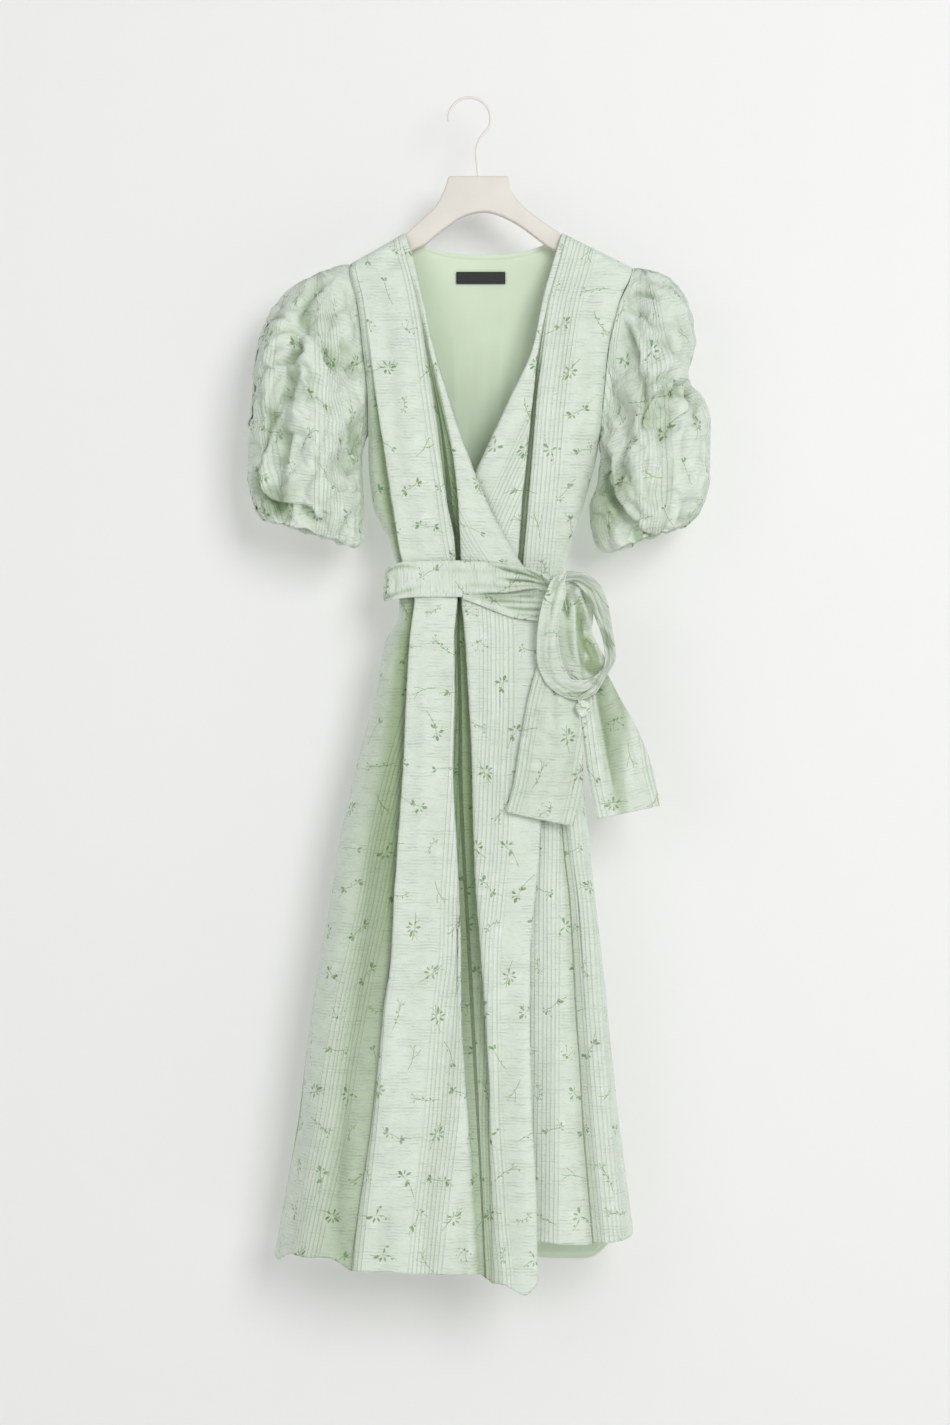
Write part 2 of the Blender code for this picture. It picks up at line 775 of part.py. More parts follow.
def make_sash(finish):
    bands = (
        ("sash_front", SASH_FRONT, 4, 20),
        ("sash_lower", SASH_LOWER, 4, 10),
        ("sash_back", SASH_BACK, 3, 24),
    )
    for name, table, across, along in bands:
        rows = rows_of(table)
        cloth(
            name,
            across,
            along,
            lambda a, b, rows=rows: band_point(rows, a, b),
            finish,
            thickness=SASH_CLOTH,
        )
    ribbons = (
        ("bow_loop", LOOP, 2.5, 5, 28),
        ("bow_loop_inside", LOOP_INSIDE, -1.5, 5, 10),
        ("tail_front", TAIL_FRONT, 1.5, 6, 12),
        ("tail_rear", TAIL_REAR, 1.5, 6, 12),
    )
    for name, table, cup, across, along in ribbons:
        rows = rows_of(table)
        cloth(
            name,
            across,
            along,
            lambda a, b, rows=rows, cup=cup: ribbon_point(rows, cup, a, b),
            finish,
            thickness=SASH_CLOTH,
        )
    for name, size in (("sash_knot", KNOT), ("bow_loop_end", LOOP_END)):
        knot_of_cloth(name, size, finish)


def knot_of_cloth(name, size, finish):
    """A tight knot: a rounded lump with a few turns of cloth raised round it."""
    bm = bmesh.new()
    bmesh.ops.create_uvsphere(bm, u_segments=18, v_segments=10, radius=1.0)
    x, drop, y = size["centre"]
    half_x, half_drop, half_y = size["half"]
    for vert in bm.verts:
        turn = math.atan2(vert.co.z, vert.co.x)
        swell = 1 - 0.05 * (1 + math.cos(5 * turn)) * (1 - abs(vert.co.y))
        vert.co = MM * Vector(
            (
                x + half_x * swell * vert.co.x,
                y + half_y * swell * vert.co.y,
                SHOULDER_Z - drop + half_drop * swell * vert.co.z,
            )
        )
    mesh = bpy.data.meshes.new(name)
    bm.to_mesh(mesh)
    bm.free()
    mesh.shade_smooth()
    return new_object(name, mesh, finish)


def make_label(finish):
    cloth("label", 4, 2, label_point, finish, thickness=0.6)


def arm_top(x):
    """The upper edge of an arm, just under the cloth where the shoulder seam lies on it."""
    return SHOULDER_Z - shoulder_drop(x) - CLOTH / 2 - ARM_GAP


def hanger_outline():
    """The hanger's front outline, clockwise from the block's upper left corner."""
    arms = []
    for sign, side in ((1, "left"), (-1, "right")):
        end = HANGER_X + sign * HANGER_REACH
        neck = NECK_POINT[side]
        low = arm_top(end)
        arms.append(
            [
                (neck, arm_top(neck)),
                (end - sign * 8, arm_top(end - sign * 8)),
                (end - sign * 2, low - 3),
                (end, low - 8),
                (end - sign * 3, low - 13),
                (end - sign * 16, arm_top(end - sign * 16) - ARM_DEEP),
                (neck, arm_top(neck) - ARM_DEEP - 2),
            ]
        )
    rim = [(row["x"], row["z"]) for row in rows_of(HANGER_RIM)]
    arch = [(row["x"], row["z"]) for row in rows_of(HANGER_ARCH)]
    top = [point for point in rim if point[0] > HANGER_X]
    far = [point for point in rim if point[0] < HANGER_X]
    return top + arms[0] + arch + arms[1][::-1] + far


def make_hanger(finish):
    bm = bmesh.new()
    front = [bm.verts.new((x * MM, -HANGER_THICK / 2 * MM, z * MM)) for x, z in hanger_outline()]
    face = bm.faces.new(front)
    grown = bmesh.ops.extrude_face_region(bm, geom=[face])
    moved = [part for part in grown["geom"] if isinstance(part, bmesh.types.BMVert)]
    bmesh.ops.translate(bm, verts=moved, vec=(0, HANGER_THICK * MM, 0))
    bmesh.ops.recalc_face_normals(bm, faces=bm.faces)
    mesh = bpy.data.meshes.new("hanger")
    bm.to_mesh(mesh)
    bm.free()
    made = new_object("hanger", mesh, finish)
    rounding = made.modifiers.new("Rounding", "BEVEL")
    rounding.width = 2.2 * MM
    rounding.segments = 2
    rounding.limit_method = "ANGLE"
    rounding.angle_limit = math.radians(60)
    return made


def hook_route():
    """The wire's centre line, from the hanger's block up and round to its tip."""
    centre_x, centre_z = 1.6, HOOK_WIRE / 2 - HOOK_RADIUS
    route = [(row["x"], row["z"]) for row in rows_of(HOOK_STEM)]
    for step in range(18):
        angle = math.radians(-26 + step * 12.5)
        route.append(
            (centre_x + HOOK_RADIUS * math.cos(angle), centre_z + HOOK_RADIUS * math.sin(angle))
        )
    return route


def make_hook(finish):
    curve = bpy.data.curves.new("hanger_hook", "CURVE")
    curve.dimensions = "3D"
    curve.bevel_depth = HOOK_WIRE / 2 * MM
    curve.bevel_resolution = 2
    curve.use_fill_caps = True
    route = hook_route()
    spline = curve.splines.new("POLY")
    spline.points.add(len(route) - 1)
    for point, (x, z) in zip(spline.points, route):
        point.co = (x * MM, 0.0, z * MM, 1.0)
    curve.materials.append(finish)
    made = bpy.data.objects.new("hanger_hook", curve)
    bpy.context.scene.collection.objects.link(made)
    return made


def clear_scene():
    for old in list(bpy.data.objects):
        bpy.data.objects.remove(old, do_unlink=True)


def main():
    clear_scene()
    print_cloth = material("print_cloth", MINT)
    plain = material("plain_lining", PLAIN_GREEN, roughness=0.7)
    make_body(print_cloth, plain)
    make_sleeves(print_cloth)
    make_sash(print_cloth)
    make_label(material("label", BLACK, roughness=0.6))
    make_hanger(material("hanger_plastic", CREAM, roughness=0.5))
    make_hook(material("hook_metal", CREAM, roughness=0.35))


main()
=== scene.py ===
"""The looks of a wrap dress with gathered puff sleeves and a tied sash, hanging on its hanger.

Tables are in millimetres, in the same frame as the solids: the origin is the hook's seat, +Z is up
and the dress faces -Y. A drop is a distance down from the high point of the shoulder. Each cloth
piece is its solid's surface worked out on a finer grid, with its listed creases laid in. The
sleeves then settle in a short simulation, and the bow's loop, its inner face and the ends of the
sash's back are shaped a little otherwise than their solids.
"""

import math

import bmesh
import bpy
import numpy as np
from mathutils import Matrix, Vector
from mathutils.kdtree import KDTree


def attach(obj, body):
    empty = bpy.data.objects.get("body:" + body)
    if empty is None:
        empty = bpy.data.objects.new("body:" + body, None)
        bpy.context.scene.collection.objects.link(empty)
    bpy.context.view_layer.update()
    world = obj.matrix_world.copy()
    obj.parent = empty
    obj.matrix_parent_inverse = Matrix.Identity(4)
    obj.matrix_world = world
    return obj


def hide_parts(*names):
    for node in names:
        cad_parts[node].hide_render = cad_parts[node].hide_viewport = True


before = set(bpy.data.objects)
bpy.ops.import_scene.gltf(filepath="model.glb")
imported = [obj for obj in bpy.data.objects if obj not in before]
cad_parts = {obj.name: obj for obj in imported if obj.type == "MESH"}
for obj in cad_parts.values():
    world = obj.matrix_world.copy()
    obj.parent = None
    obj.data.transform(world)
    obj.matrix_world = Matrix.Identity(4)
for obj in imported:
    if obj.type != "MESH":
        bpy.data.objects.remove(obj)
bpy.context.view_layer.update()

MM = 0.001

# Driving dimensions, in millimetres
SHOULDER_Z = -153.0  # high point of the shoulder, below the hook's seat
WAIST_DROP = 395.0  # shoulder to the seam under the sash
CLOTH = 1.6  # shell and lining together
LINING = 1.0
SEAM_GAP = 0.3  # between two pieces that are sewn together
UNDERARM = {"right": 230.0, "left": 238.0}
SHOULDER_TIP = {"right": (-134.0, 36.0), "left": (187.5, 40.0)}  # x and drop
NECK_POINT = {"right": -72.0, "left": 107.0}  # x of the shoulder seam's end at the neck
ARMHOLE_FRONT, ARMHOLE_BACK = 22.0, 14.0  # how far the armhole opens towards -Y and +Y
NECK_DIP = 22.0  # depth of the back neck
HANGER_THICK = 11.0
HANGER_REACH = 143.0  # half the hanger's width
HANGER_X = 12.5  # the hanger's middle
ARM_GAP = 1.5  # from the hanger's arms up to the cloth that lies on them
ARM_DEEP = 20.0
HOOK_WIRE = 3.2
HOOK_RADIUS = 24.0  # of the wire's centre line
HOOK_X = 1.6  # the hook's middle
HOOK_FROM, HOOK_STEP, HOOK_STEPS = -26.0, 12.5, 18  # its arc in degrees, from the stem round

# The overlapping front. Its cloth lies in two flat bands, f0 to f1 and g1 to the free edge, with a
# deep fold between them, and the side lies back behind f0. set and recess are the depths of those
# folds, and tuck how far the cloth turns back under a band's edge (a slope where it is negative).
OVER_FRONT = """
drop   side   f0     f1    g1    edge  front set  recess tuck0 tuck1
0      -134   -127.5 -80   -76   -72   -14   0    0      -1    -1.5
37     -134   -127   -70.5 -66.5 -60.5 -19   0.1  0.2    -1    -1.5
80.5   -125   -117.5 -59.5 -55   -50.5 -30   0.4  1      -1.5  -1.5
138    -118   -109   -49   -43   -38   -38   2    4.5    -2    -2
194.5  -113   -102   -40   -29   -21   -42   6    8      -1    -3
250.5  -113   -94    -32   -17   -2    -42   10   10     1     -1
307    -108   -85.5  -24.5 -11   21    -38   12   12     3     3
352    -88.5  -79    -16   -9    44    -34   12   13     4     5
395.5  -77.5  -68.5  -13.5 -7.5  72    -30   11   12     3     5
418    -77.5  -60    -12   -7    84    -32   12   13     4     5
440    -79.5  -62.5  -14   -5    86    -36   13   14     4     5
463    -92.5  -65    -15.5 -3    87    -40   14   15     5     6
530.5  -106.5 -69    -15   1     87    -46   15   16     5     6
611    -128   -72.5  -17   4.5   83.5  -52   15   17     5     6
697    -146.5 -78    -13   7     79.5  -57.5 15   17     4     5
752.5  -154.5 -81.5  -10   10    74.5  -60   14   17     3     5
808    -165 -83    -8    14.5  69.5  -62.5 13   17     2     4
876    -176 -91    -7    21    68.5  -66   11.5 16     -1    2
938    -184.5 -96    -4    24    69.5  -68.5 10   15     -4    0
994    -191 -100.5 -1    26    71    -70.5 9    13     -6    -2
1083.5 -206 -111.5 2     31.5  76    -73   7    11     -9    -6
1169.5 -220.5 -120   4     36.5  77    -76   5    9      -12   -9
"""

# The front that lies underneath. hidden is how far it lies back where the other front covers it,
# as far as clear; g2 to f2 is its own fold.
UNDER_FRONT = """
drop   edge  g2    f2    side  front hidden clear recess tuck
0      107   111   115   187.5 -12   0      90    0      -1
37     96    100.5 105   187.5 -17   0      80    0      -1
80     84.5  89    93.5  171.5 -28   0      60    0.6    -1
137.5  72    78.5  84.5  157.5 -34   0      40    3.5    0
193.5  46    72    77.5  152   -36   0      20    7.5    2
249.5  20    66.5  73    146   -34   0      10    9      3
306    -6    60.5  68.5  132   -29   5      22    9      3.5
351    -24   57.5  64.5  116.5 -25   8      20    8.5    3.5
395    -42.5 54.5  61.5  106.5 -21   9      20    7      3
417.5  -44.5 56.5  63.5  106.5 -23   10     22    6      1
439.5  -45.5 64.5  72.5  109.5 -26.5 11     23    4      -1
463    -46   73.5  82.5  114.5 -30   12     24    3      -2.5
530    -47   88    97    120.5 -36   13     28    2.5    -3
611    -48   96    107   129   -42   13     31    2.5    -3
698    -49   101.5 114.5 138   -47.5 13     34    2.5    -3.5
753.5  -50   107.5 121.5 144   -50   13     36    2.5    -4
809    -50.5 110.5 125.5 150   -52   12.5   39    3      -4
877.5  -51.5 113.5 129.5 157.5 -54.5 12     43    3      -4.5
939.5  -52.5 117.5 134   163.5 -57   11     47    3.5    -5
996    -53.5 120   138   169.5   -58.5 10     50    3.5    -5
1086   -54.5 126   146   180.5 -61   9      55    4      -6
1172.5 -55.5 133   154.5 190   -63   8      60    4      -6
"""

BACK = """
drop   behind
0      14
33.5   17
75     22
132    26
189    28
245.5  28
303.5  26
349.5  24
394    21.5
416.5  22.5
462    27
530    31
612.5  35
700.5  38
814.5  42
948.5  45
1098.5 48
1188   50
"""

# Soft folds of the back skirt: where across the back, how deep at the hem and how wide
BACK_FOLDS = """
share depth width start
0.13  6     0.06  430
0.27  9     0.07  410
0.43  7     0.07  440
0.58  9     0.08  410
0.73  8     0.07  425
0.87  6     0.06  440
"""

# Hem drops at each named line of a panel
OVER_HEM = {
    "side": 1161.0, "part": 1150.0, "f0": 1162.0, "f1": 1167.0, "g1": 1176.0, "edge": 1176.0,
}
UNDER_HEM = {"edge": 1128.0, "g2": 1136.0, "f2": 1134.0, "side": 1130.0}
BACK_HEM = {"right": 1161.0, "middle": 1178.0, "left": 1136.0}

# The columns of each front, from one named line to the next. share is the place between the two
# lines, tuck a multiple of the fold's tuck, and level how deep it lies: 0 on the band, 1 on the
# fold's floor.
OVER_COLUMNS = """
near far   share  tuck  fold  level hem
side f0    0      0     side  0    0
side f0    0.06   0     side  0.36 0
side f0    0.18   0     side  0.66 0
side f0    0.38   0     side  0.88 0
side f0    0.66   0     side  0.98 0
f0   f0    0      1     set   0.97 0
f0   f0    0      0.7   set   0.5  0
f0   f0    0      0     set   0.2  0
f0   f1    0.03   0     set   0.03 0
f0   f1    0.2    0     set   0    0
f0   f1    0.5    0     bow   1    0
f0   f1    0.8    0     pit   0    0
f0   f1    0.97   0     pit   0.03 0
f1   f1    0      0     pit   0.2  0
f1   f1    0     -0.7   pit   0.5  0
f1   f1    0     -1     pit   0.93 0
f1   g1    0.5    0     pit   1    0
g1   g1    0      1     pit   0.93 0
g1   g1    0      0.7   pit   0.5  0
g1   g1    0      0     pit   0.2  0
g1   edge  0.04   0     pit   0.03 0
g1   edge  0.33   0     pit   0    6
g1   edge  0.68   0     pit   0    12
g1   edge  1      0     free  1    0
"""

UNDER_COLUMNS = """
near far   share  tuck  fold  level hem
edge g2    0      0     free  1    0
edge g2    0.2    0     pit   0    0
edge g2    0.4    0     pit   0    0
edge g2    0.6    0     pit   0    0
edge g2    0.8    0     pit   0    0
edge g2    0.97   0     pit   0.05 0
g2   g2    0      0     pit   0.25 0
g2   g2    0     -1     pit   0.92 0
g2   f2    0.5    0     pit   1    0
f2   f2    0      1     pit   0.92 0
f2   f2    0      0     pit   0.25 0
f2   side  0.03   0     pit   0.05 0
f2   side  0.3    0     pit   0    0
f2   side  0.6    0     side  0.95 0
f2   side  0.84   0     side  0.72 0
f2   side  0.96   0     side  0.36 0
f2   side  1      0     side  0    0
"""

# The puff sleeves, as rings from the armhole to the hem and in again to the elastic. Each ring has
# an outer and an inner point and how far it bulges to the front and the back.
SLEEVE_RIGHT = """
along outer_x outer_drop inner_x inner_drop front back
0.06  -141.5  36.5       -116    237        28    16
0.20  -177    50.5       -120.5  252        46    22
0.36  -224    88         -121.5  268        58    28
0.52  -244.5  152        -120.5  284        64    32
0.68  -248.5  224.5      -119.5  303        64    34
0.82  -249.5  278        -118.5  326        58    33
0.92  -241.5  310.5      -119.5  346        48    30
1.00  -226    326        -128.5  356        40    26
1.06  -210    317.5      -142.5  344        33    22
1.14  -201    301.5      -150    324        30    20
"""

SLEEVE_LEFT = """
along outer_x outer_drop inner_x inner_drop front back
0.06  195     40.5       152     246        28    16
0.20  222     48.5       151     259        46    22
0.34  247     77         149     272        57    28
0.45  256.5   122.5      147     286        62    31
0.54  251.5   166        143.5   297        60    32
0.60  266     188        141     303        62    33
0.68  275     215.5      139     310        64    34
0.82  274.5   276        139.5   327        58    33
0.92  262.5   314.5      145     348        48    30
1.00  239     334        157     362        40    26
1.06  226     326        171     351        33    22
1.14  219     310.5      179     331        30    20
"""

# Creases of the sleeves: from one place to another, as degrees round (0 outer, 90 front, 180 inner)
# and shares along, with their depth and half width in degrees
CREASES_RIGHT = """
from_round from_along to_round to_along depth width
64         0.46       56       0.92     17    12
50         0.14       62       0.40     11    11
112        0.08       102      0.34     9     11
150        0.40       128      0.66     9     13
22         0.30       10       0.62     8     13
88         0.62       96       0.98     8     11
300        0.30       290      0.80     9     18
240        0.10       250      0.50     6     14
"""

CREASES_LEFT = """
from_round from_along to_round to_along depth width
2          0.52       42       0.60     9     12
66         0.48       88       0.82     14    12
116        0.06       128      0.60     12    12
156        0.50       110      0.98     13    12
40         0.10       60       0.34     8     12
250        0.30       240      0.80     9     18
300        0.10       290      0.50     6     14
"""

# The sash: a band's centre in plan, with its upper and lower edges as drops
SASH_FRONT = """
x     y     upper lower
-94.5 -4    387   418.5
-91.5 -22   382   418.5
-84.5 -31   378.5 418
-70   -34.5 375   416
-50   -35   374.5 415
-13   -35   374   415
20    -35.5 376   415.5
45    -36.5 379.5 415
65    -38   382   412.5
82    -41   387.5 410.5
91.5  -45   392.5 407
"""

SASH_LOWER = """
x  y     upper lower
-6 -36.9 413   417
13 -37.1 413   424
35 -37.9 412.5 433
49 -38.5 412   438
66 -39.9 411   441
80 -42.5 410   442
88 -45   409   441.5
"""

SASH_BACK = """
x     y     upper lower
-94.5 -3.5  387   418.5
-93   14    379   414.5
-86   22.5  375.5 412
-70   26    374   412
-20.5 26.5  374   412
51    26.5  374   412
92    25.5  374   412
105   21.5  375   412
109   11    387   412.5
109.6 -3    390   413
109.2 -20   392   412.5
108.2 -32   395   410
107   -38   396   407
"""

# Ribbons of the bow, from the knot outwards, by their two long edges
LOOP = """
left_x left_drop left_y right_x right_drop right_y
99     392       -56    110     390        -57
92     400       -58.5  108     401        -59.5
87.5   411       -57.5  109     412        -59
81.5   430.5     -56    103.5   431        -61
78     458       -55.5  100     458        -64
77.5   484       -54.5  103     482        -66
86     508.5     -54.5  109.5   500        -66
103    524       -55.5  118     508.5      -65
122    530       -56.5  129     508.5      -64
138    525       -57    138.5   505.5      -62
151    506       -55    147     499        -60
163    480       -54    153     487        -58
160    461       -54    150.5   464        -58
158    440       -54    142     440        -59
148    406       -53    129     410        -58
126    389.5     -54    117     400        -56.5
109    388.5     -56.5  106     400        -58
"""

LOOP_INSIDE = """
left_x left_drop left_y right_x right_drop right_y
112.5  399.5     -50.6  130   400      -50.2
101    414       -51.4  133   414      -50.6
99     436       -54    140   431      -52
98     458       -55    138.5 452      -52
101    480       -56    145   470      -53
107    498       -56    153   488      -55
118    509       -57    140   508      -56
"""

TAIL_FRONT = """
left_x left_drop left_y right_x right_drop right_y
95.5   411.1     -48.5  107.5   411.1      -48.5
91.5   437.5     -48.5  112.5   437.5      -48.5
85.5   463.5     -49    117.5   463.5      -49
76.5   494.5     -50    121.5   499.5      -49.5
67.5   527.5     -52    123.5   541.5      -51.5
58.5   576       -57    128     584        -56.5
50.5   624.5     -60.5  128     628.5      -60
42     655.5     -63    116     671        -62
"""

TAIL_REAR = """
left_x left_drop left_y right_x right_drop right_y
102.5  408.5     -44    114     408        -44
112    437.5     -44    126     435.5      -44
118    469.5     -45.5  138     465.5      -44.5
124    513.5     -47.5  155.5   501.5      -46
125    543.5     -48.5  169.5   527.5      -47
127.5  565       -49    190     565        -48
133    608       -48.5  206.5   608        -46
144.5  664       -47    214.5   649        -44
"""

# The hanger's outline where the cloth leaves it bare, and its hook's stem
HANGER_RIM = """
x    z
46   -88.5
49.5 -105
58.5 -118
74.5 -132.5
91   -144
-55  -140
-36.5 -122
-28.5 -107
-22  -88.5
"""

HANGER_ARCH = """
x    z
91   -169
59   -145
47   -138
35   -132.5
21   -129
8    -130
-3   -133
-12  -137.5
-24  -146
-37  -156
-48  -165.5
"""

HOOK_STEM = """
x    z
11.5 -88.2
10.5 -76
9.3  -64
10   -54.5
13   -46.5
17.5 -39.5
"""

KNOT = {"centre": (102.5, 399.0, -48.5), "half": (9.0, 10.5, 7.5)}  # x, drop, y
LOOP_END = {"centre": (128.0, 539.9, -58.5), "half": (8.5, 9.8, 4.6)}
LABEL = {"from_x": -13.5, "to_x": 42.5, "upper": 41.0, "lower": 54.5}

LINING_FROM = {"bodice": 0.15, "skirt": 0.03}  # shares across the back
LINING_TO = {"bodice": 0.8, "skirt": 0.97}

# Creases and soft folds laid on the panels. Each runs from one place (x and drop) over a middle one
# to a third. A negative depth is a ridge.
OVER_SKIRT_FOLDS = """
x0   d0   x1   d1   x2   d2   depth width
-2   730  -13  863  -35  1062 5     16
-31  973  -42  1084 -40  1180 4     12
-106 641  -128 863  -162 1160 6     14
-137 973  -146 1084 -135 1175 5     9
-77  752  -84  918  -75  1175 -3    18
-186 929  -195 1040 -197 1160 3     9
41   885  36   1029 53   1190 4     12
20   752  27   918  24   1100 -3    12
62   818  64   973  69   1175 -2.5  10
-25  453  -31  597  -46  752  1.5   10
58   464  47   531  41   619  2     12
13   486  22   597  27   708  1.5   12
-53  464  -49  597  -62  752  -1.5  12
2    1062 -7   1128 2    1185 3.5   10
-88  1084 -95  1128 -93  1180 2.5   9
"""

UNDER_SKIRT_FOLDS = """
x0  d0  x1  d1  x2  d2   depth width
109 686 116 864 125 1140 3     12
138 731 147 887 160 1140 -2.5  12
98  864 98  976 102 1140 -2    8
151 709 160 864 176 1130 2     8
127 675 136 820 143 976  1.5   10
"""

OVER_BODICE_FOLDS = """
x0   d0  x1  d1  x2   d2  depth width
-82  40  -74 116 -63  217 -1.5  9
-92  82  -83 194 -72  351 1.5   7
-54  82  -40 217 -27  374 1.2   8
-65  217 -54 306 -49  376 -1.2  8
-78  29  -85 40  -108 49  2     6
2    273 22  329 41   374 1.5   9
-7   306 -2  340 0    378 -1.5  8
-101 228 -94 273 -83  351 2     6
"""

UNDER_BODICE_FOLDS = """
x0  d0  x1  d1  x2  d2  depth width
109 40  103 116 99  217 1.2   9
137 40  134 150 123 273 1.5   9
152 82  146 172 137 273 -1.5  8
120 82  116 217 103 351 -1.2  8
87  127 69  194 56  250 1.5   8
110 284 105 329 99  376 1.5   7
58  217 43  273 36  329 1.2   7
"""

BACK_BODICE_FOLDS = """
x0   d0  x1  d1  x2  d2  depth width
-70  60  -62 190 -48 370 2     9
-18  120 -12 240 -8  380 1.5   10
40   90  36  230 44  385 2     10
96   70  88  200 76  360 1.8   9
140  90  128 210 104 350 2.2   8
-108 110 -98 230 -84 340 2     8
"""

BACK_SKIRT_FOLDS = """
x0   d0  x1  d1   x2   d2   depth width
-60  430 -92 760  -138 1150 3     12
-24  420 -40 700  -64  1160 2.5   11
14   440 10  820  4    1160 3     12
44   415 58  690  78   1140 2.2   10
78   430 104 760  140  1120 3     12
100  600 126 860  164  1110 2     9
-84  560 -122 860 -178 1140 2.4   10
"""

# The sleeves' creases as they are seen from the front
FRONT_CREASES_RIGHT = """
x0   d0  x1   d1  x2   d2  depth width steep
-159 60  -177 80  -184 119 12    7     -0.6
-218 124 -200 118 -183 123 5     4     0.5
-193 124 -189 137 -195 150 9     5     0
-221 150 -208 156 -191 149 6     4     0.5
-200 155 -201 178 -211 205 10    6     0.7
-210 205 -221 229 -233 265 12    7     -0.8
-233 265 -230 302 -186 314 12    7     -0.8
-186 314 -177 320 -168 337 7     6     -0.6
-204 221 -204 250 -214 273 6     12    0
-123 84  -123 110 -113 137 10    6     0
-160 123 -157 153 -139 160 9     6     0.8
-139 160 -128 163 -115 161 7     5     0.8
-146 132 -132 132 -119 123 6     9     0
-184 168 -175 181 -178 203 7     5     0.5
-189 154 -180 162 -172 178 4     4     0
-109 208 -125 250 -135 283 8     10    -0.5
-135 283 -146 302 -168 320 3     8     0
-234 113 -218 98  -195 110 4     6     0
-237 178 -234 201 -240 234 4     6     0
-224 154 -234 168 -238 188 4     5     0
-204 165 -217 188 -226 221 4     6     0.4
-155 90  -154 110 -159 129 4     7     0
-178 123 -179 103 -168 87  4     6     0
-175 258 -168 273 -181 293 2.5   4     0
-155 227 -165 253 -168 273 2     4     0
-195 240 -188 260 -201 283 3     6     0
-146 352 -138 338 -132 320 4     5     0
-155 347 -159 332 -158 316 3     5     0
-168 337 -162 327 -158 319 3     5     0
-124 347 -125 329 -123 309 3     5     0
-204 327 -214 306 -223 293 4     6     0
-142 64  -138 80  -141 100 4     6     0
-131 67  -129 83  -132 103 4     5     0
-214 83  -204 90  -191 87  3     5     0
-208 132 -214 139 -218 146 4     4     0
"""

FRONT_CREASES_LEFT = """
x0   d0  x1   d1  x2   d2  depth width steep
184  73  197  74  212  79  7     4     0.5
169  89  188  94  202  104 6     4     0.5
168  95  183  123 189  163 9     7     -0.8
189  163 195  188 197  239 7     10    -0.5
252  176 234  181 212  193 10    7     0.5
212  193 202  208 199  234 8     9     0.4
216  201 222  221 210  250 5     8     0
155  250 165  302 191  339 13    7     -0.8
191  339 201  347 215  347 8     6     -0.8
150  250 155  268 144  289 8     6     0
151  155 161  178 168  221 4     9     0
237  178 250  195 256  221 5     7     0
245  217 240  253 243  286 3     8     0
223  253 224  286 218  319 3     8     0
201  253 201  286 210  319 2.5   6     0
230  90  240  116 243  142 3.5   8     0
210  123 227  139 246  155 4     7     0.3
201  103 210  109 227  108 3     5     0
194  64  210  60  224  67  3     5     0
171  103 173  132 178  155 3     6     0
181  306 187  319 207  329 3     6     0
233  338 240  319 243  302 3.5   5     0
217  347 221  329 224  312 3.5   5     0
246  332 250  316 251  299 3     5     0
168  253 178  286 188  312 3     7     0
138  319 151  329 162  355 5     7     0
145  296 155  319 171  338 5     8     0
263  188 256  201 259  221 4     6     0
201  178 214  173 233  178 4     6     0.3
171  188 176  208 173  234 3     7     0
"""

# Where a sleeve lies in the shade of its own folds: ovals, their half sizes, turn and share
SHADED_RIGHT = """
x    drop wide tall turn share
-218 306  33   17   30   0.62
-240 286  9    20   0    0.5
-208 227  7    29   18   0.5
-137 144  20   12   10   0.42
-121 113  7    23   0    0.42
-120 250  7    36   18   0.38
-195 139  5    13   0    0.5
-176 106  9    29   18   0.28
-180 191  4    11   0    0.42
-224 208  5    20   30   0.25
-106 237  8    29   10   0.55
"""

SHADED_LEFT = """
x    drop wide tall turn share
156  312  20   49   -22  0.62
201  343  23   7    8    0.5
201  208  9    33   0    0.36
230  185  23   7    -14  0.3
215  221  7    20   0    0.26
158  132  6    33   6    0.36
148  267  8    20   0    0.6
185  80   13   6    8    0.3
253  332  20   9    -30  0.3
"""

# Creases of the sash and its bow: places are across and along each piece's own cloth
SASH_FRONT_CREASES = """
x0  d0 x1  d1 x2  d2 depth width steep
6   2  10  16 5   34 3.4   3     0
14  4  20  14 16  26 3.0   2.5   0
24  36 18  30 20  22 3.2   2.5   0
8   8  30  4  62  9  2.8   2.5   0
12  30 34  34 60  30 2.4   3     0
30  10 34  22 30  34 1.6   3     0
80  9  120 12 160 8  1.0   4     0
100 29 140 26 178 27 1.4   3     0
140 3  176 8  205 10 5.6   2.4   0.4
150 16 180 15 205 12 5.0   2     -0.4
120 36 168 30 205 14 4.4   2.4   -0.4
158 24 184 20 204 13 3.0   1.8   0
112 38 160 36 200 22 2.4   2.2   0
176 2  192 5  205 8  3.4   2     0
"""

SASH_LOWER_CREASES = """
x0 d0  x1 d1  x2 d2  depth width steep
20 6   60 9   96 13  3.4   2     0
40 12  70 18  97 20  3.4   2     0
60 22  80 26  97 27  2.6   2     0
60 3   80 6   97 8   2.4   1.8   0
"""

LOOP_CREASES = """
x0 d0  x1 d1  x2 d2  depth width
9  0   10 24  13 56  3.2   2.2
4  0   6  24  9  70  1.6   2.6
14 60  13 90  12 124 1.2   2.6
6  80  8  110 9  140 1.4   3
10 130 9  150 8  172 2.2   2.2
15 128 13 150 12 176 2.2   2
5  146 8  166 8  190 2.4   2
12 176 10 192 8  210 2.6   2
5  190 7  206 7  226 2.2   2
3  222 6  226 10 232 3.0   2
2  244 6  250 12 252 2.6   2
11 238 12 262 14 300 3.2   2.6
5  250 6  280 8  318 1.6   2.4
17 262 16 290 15 320 2.0   2.2
8  300 9  326 10 345 3.0   2.2
4  310 5  330 6  350 2.4   2
"""

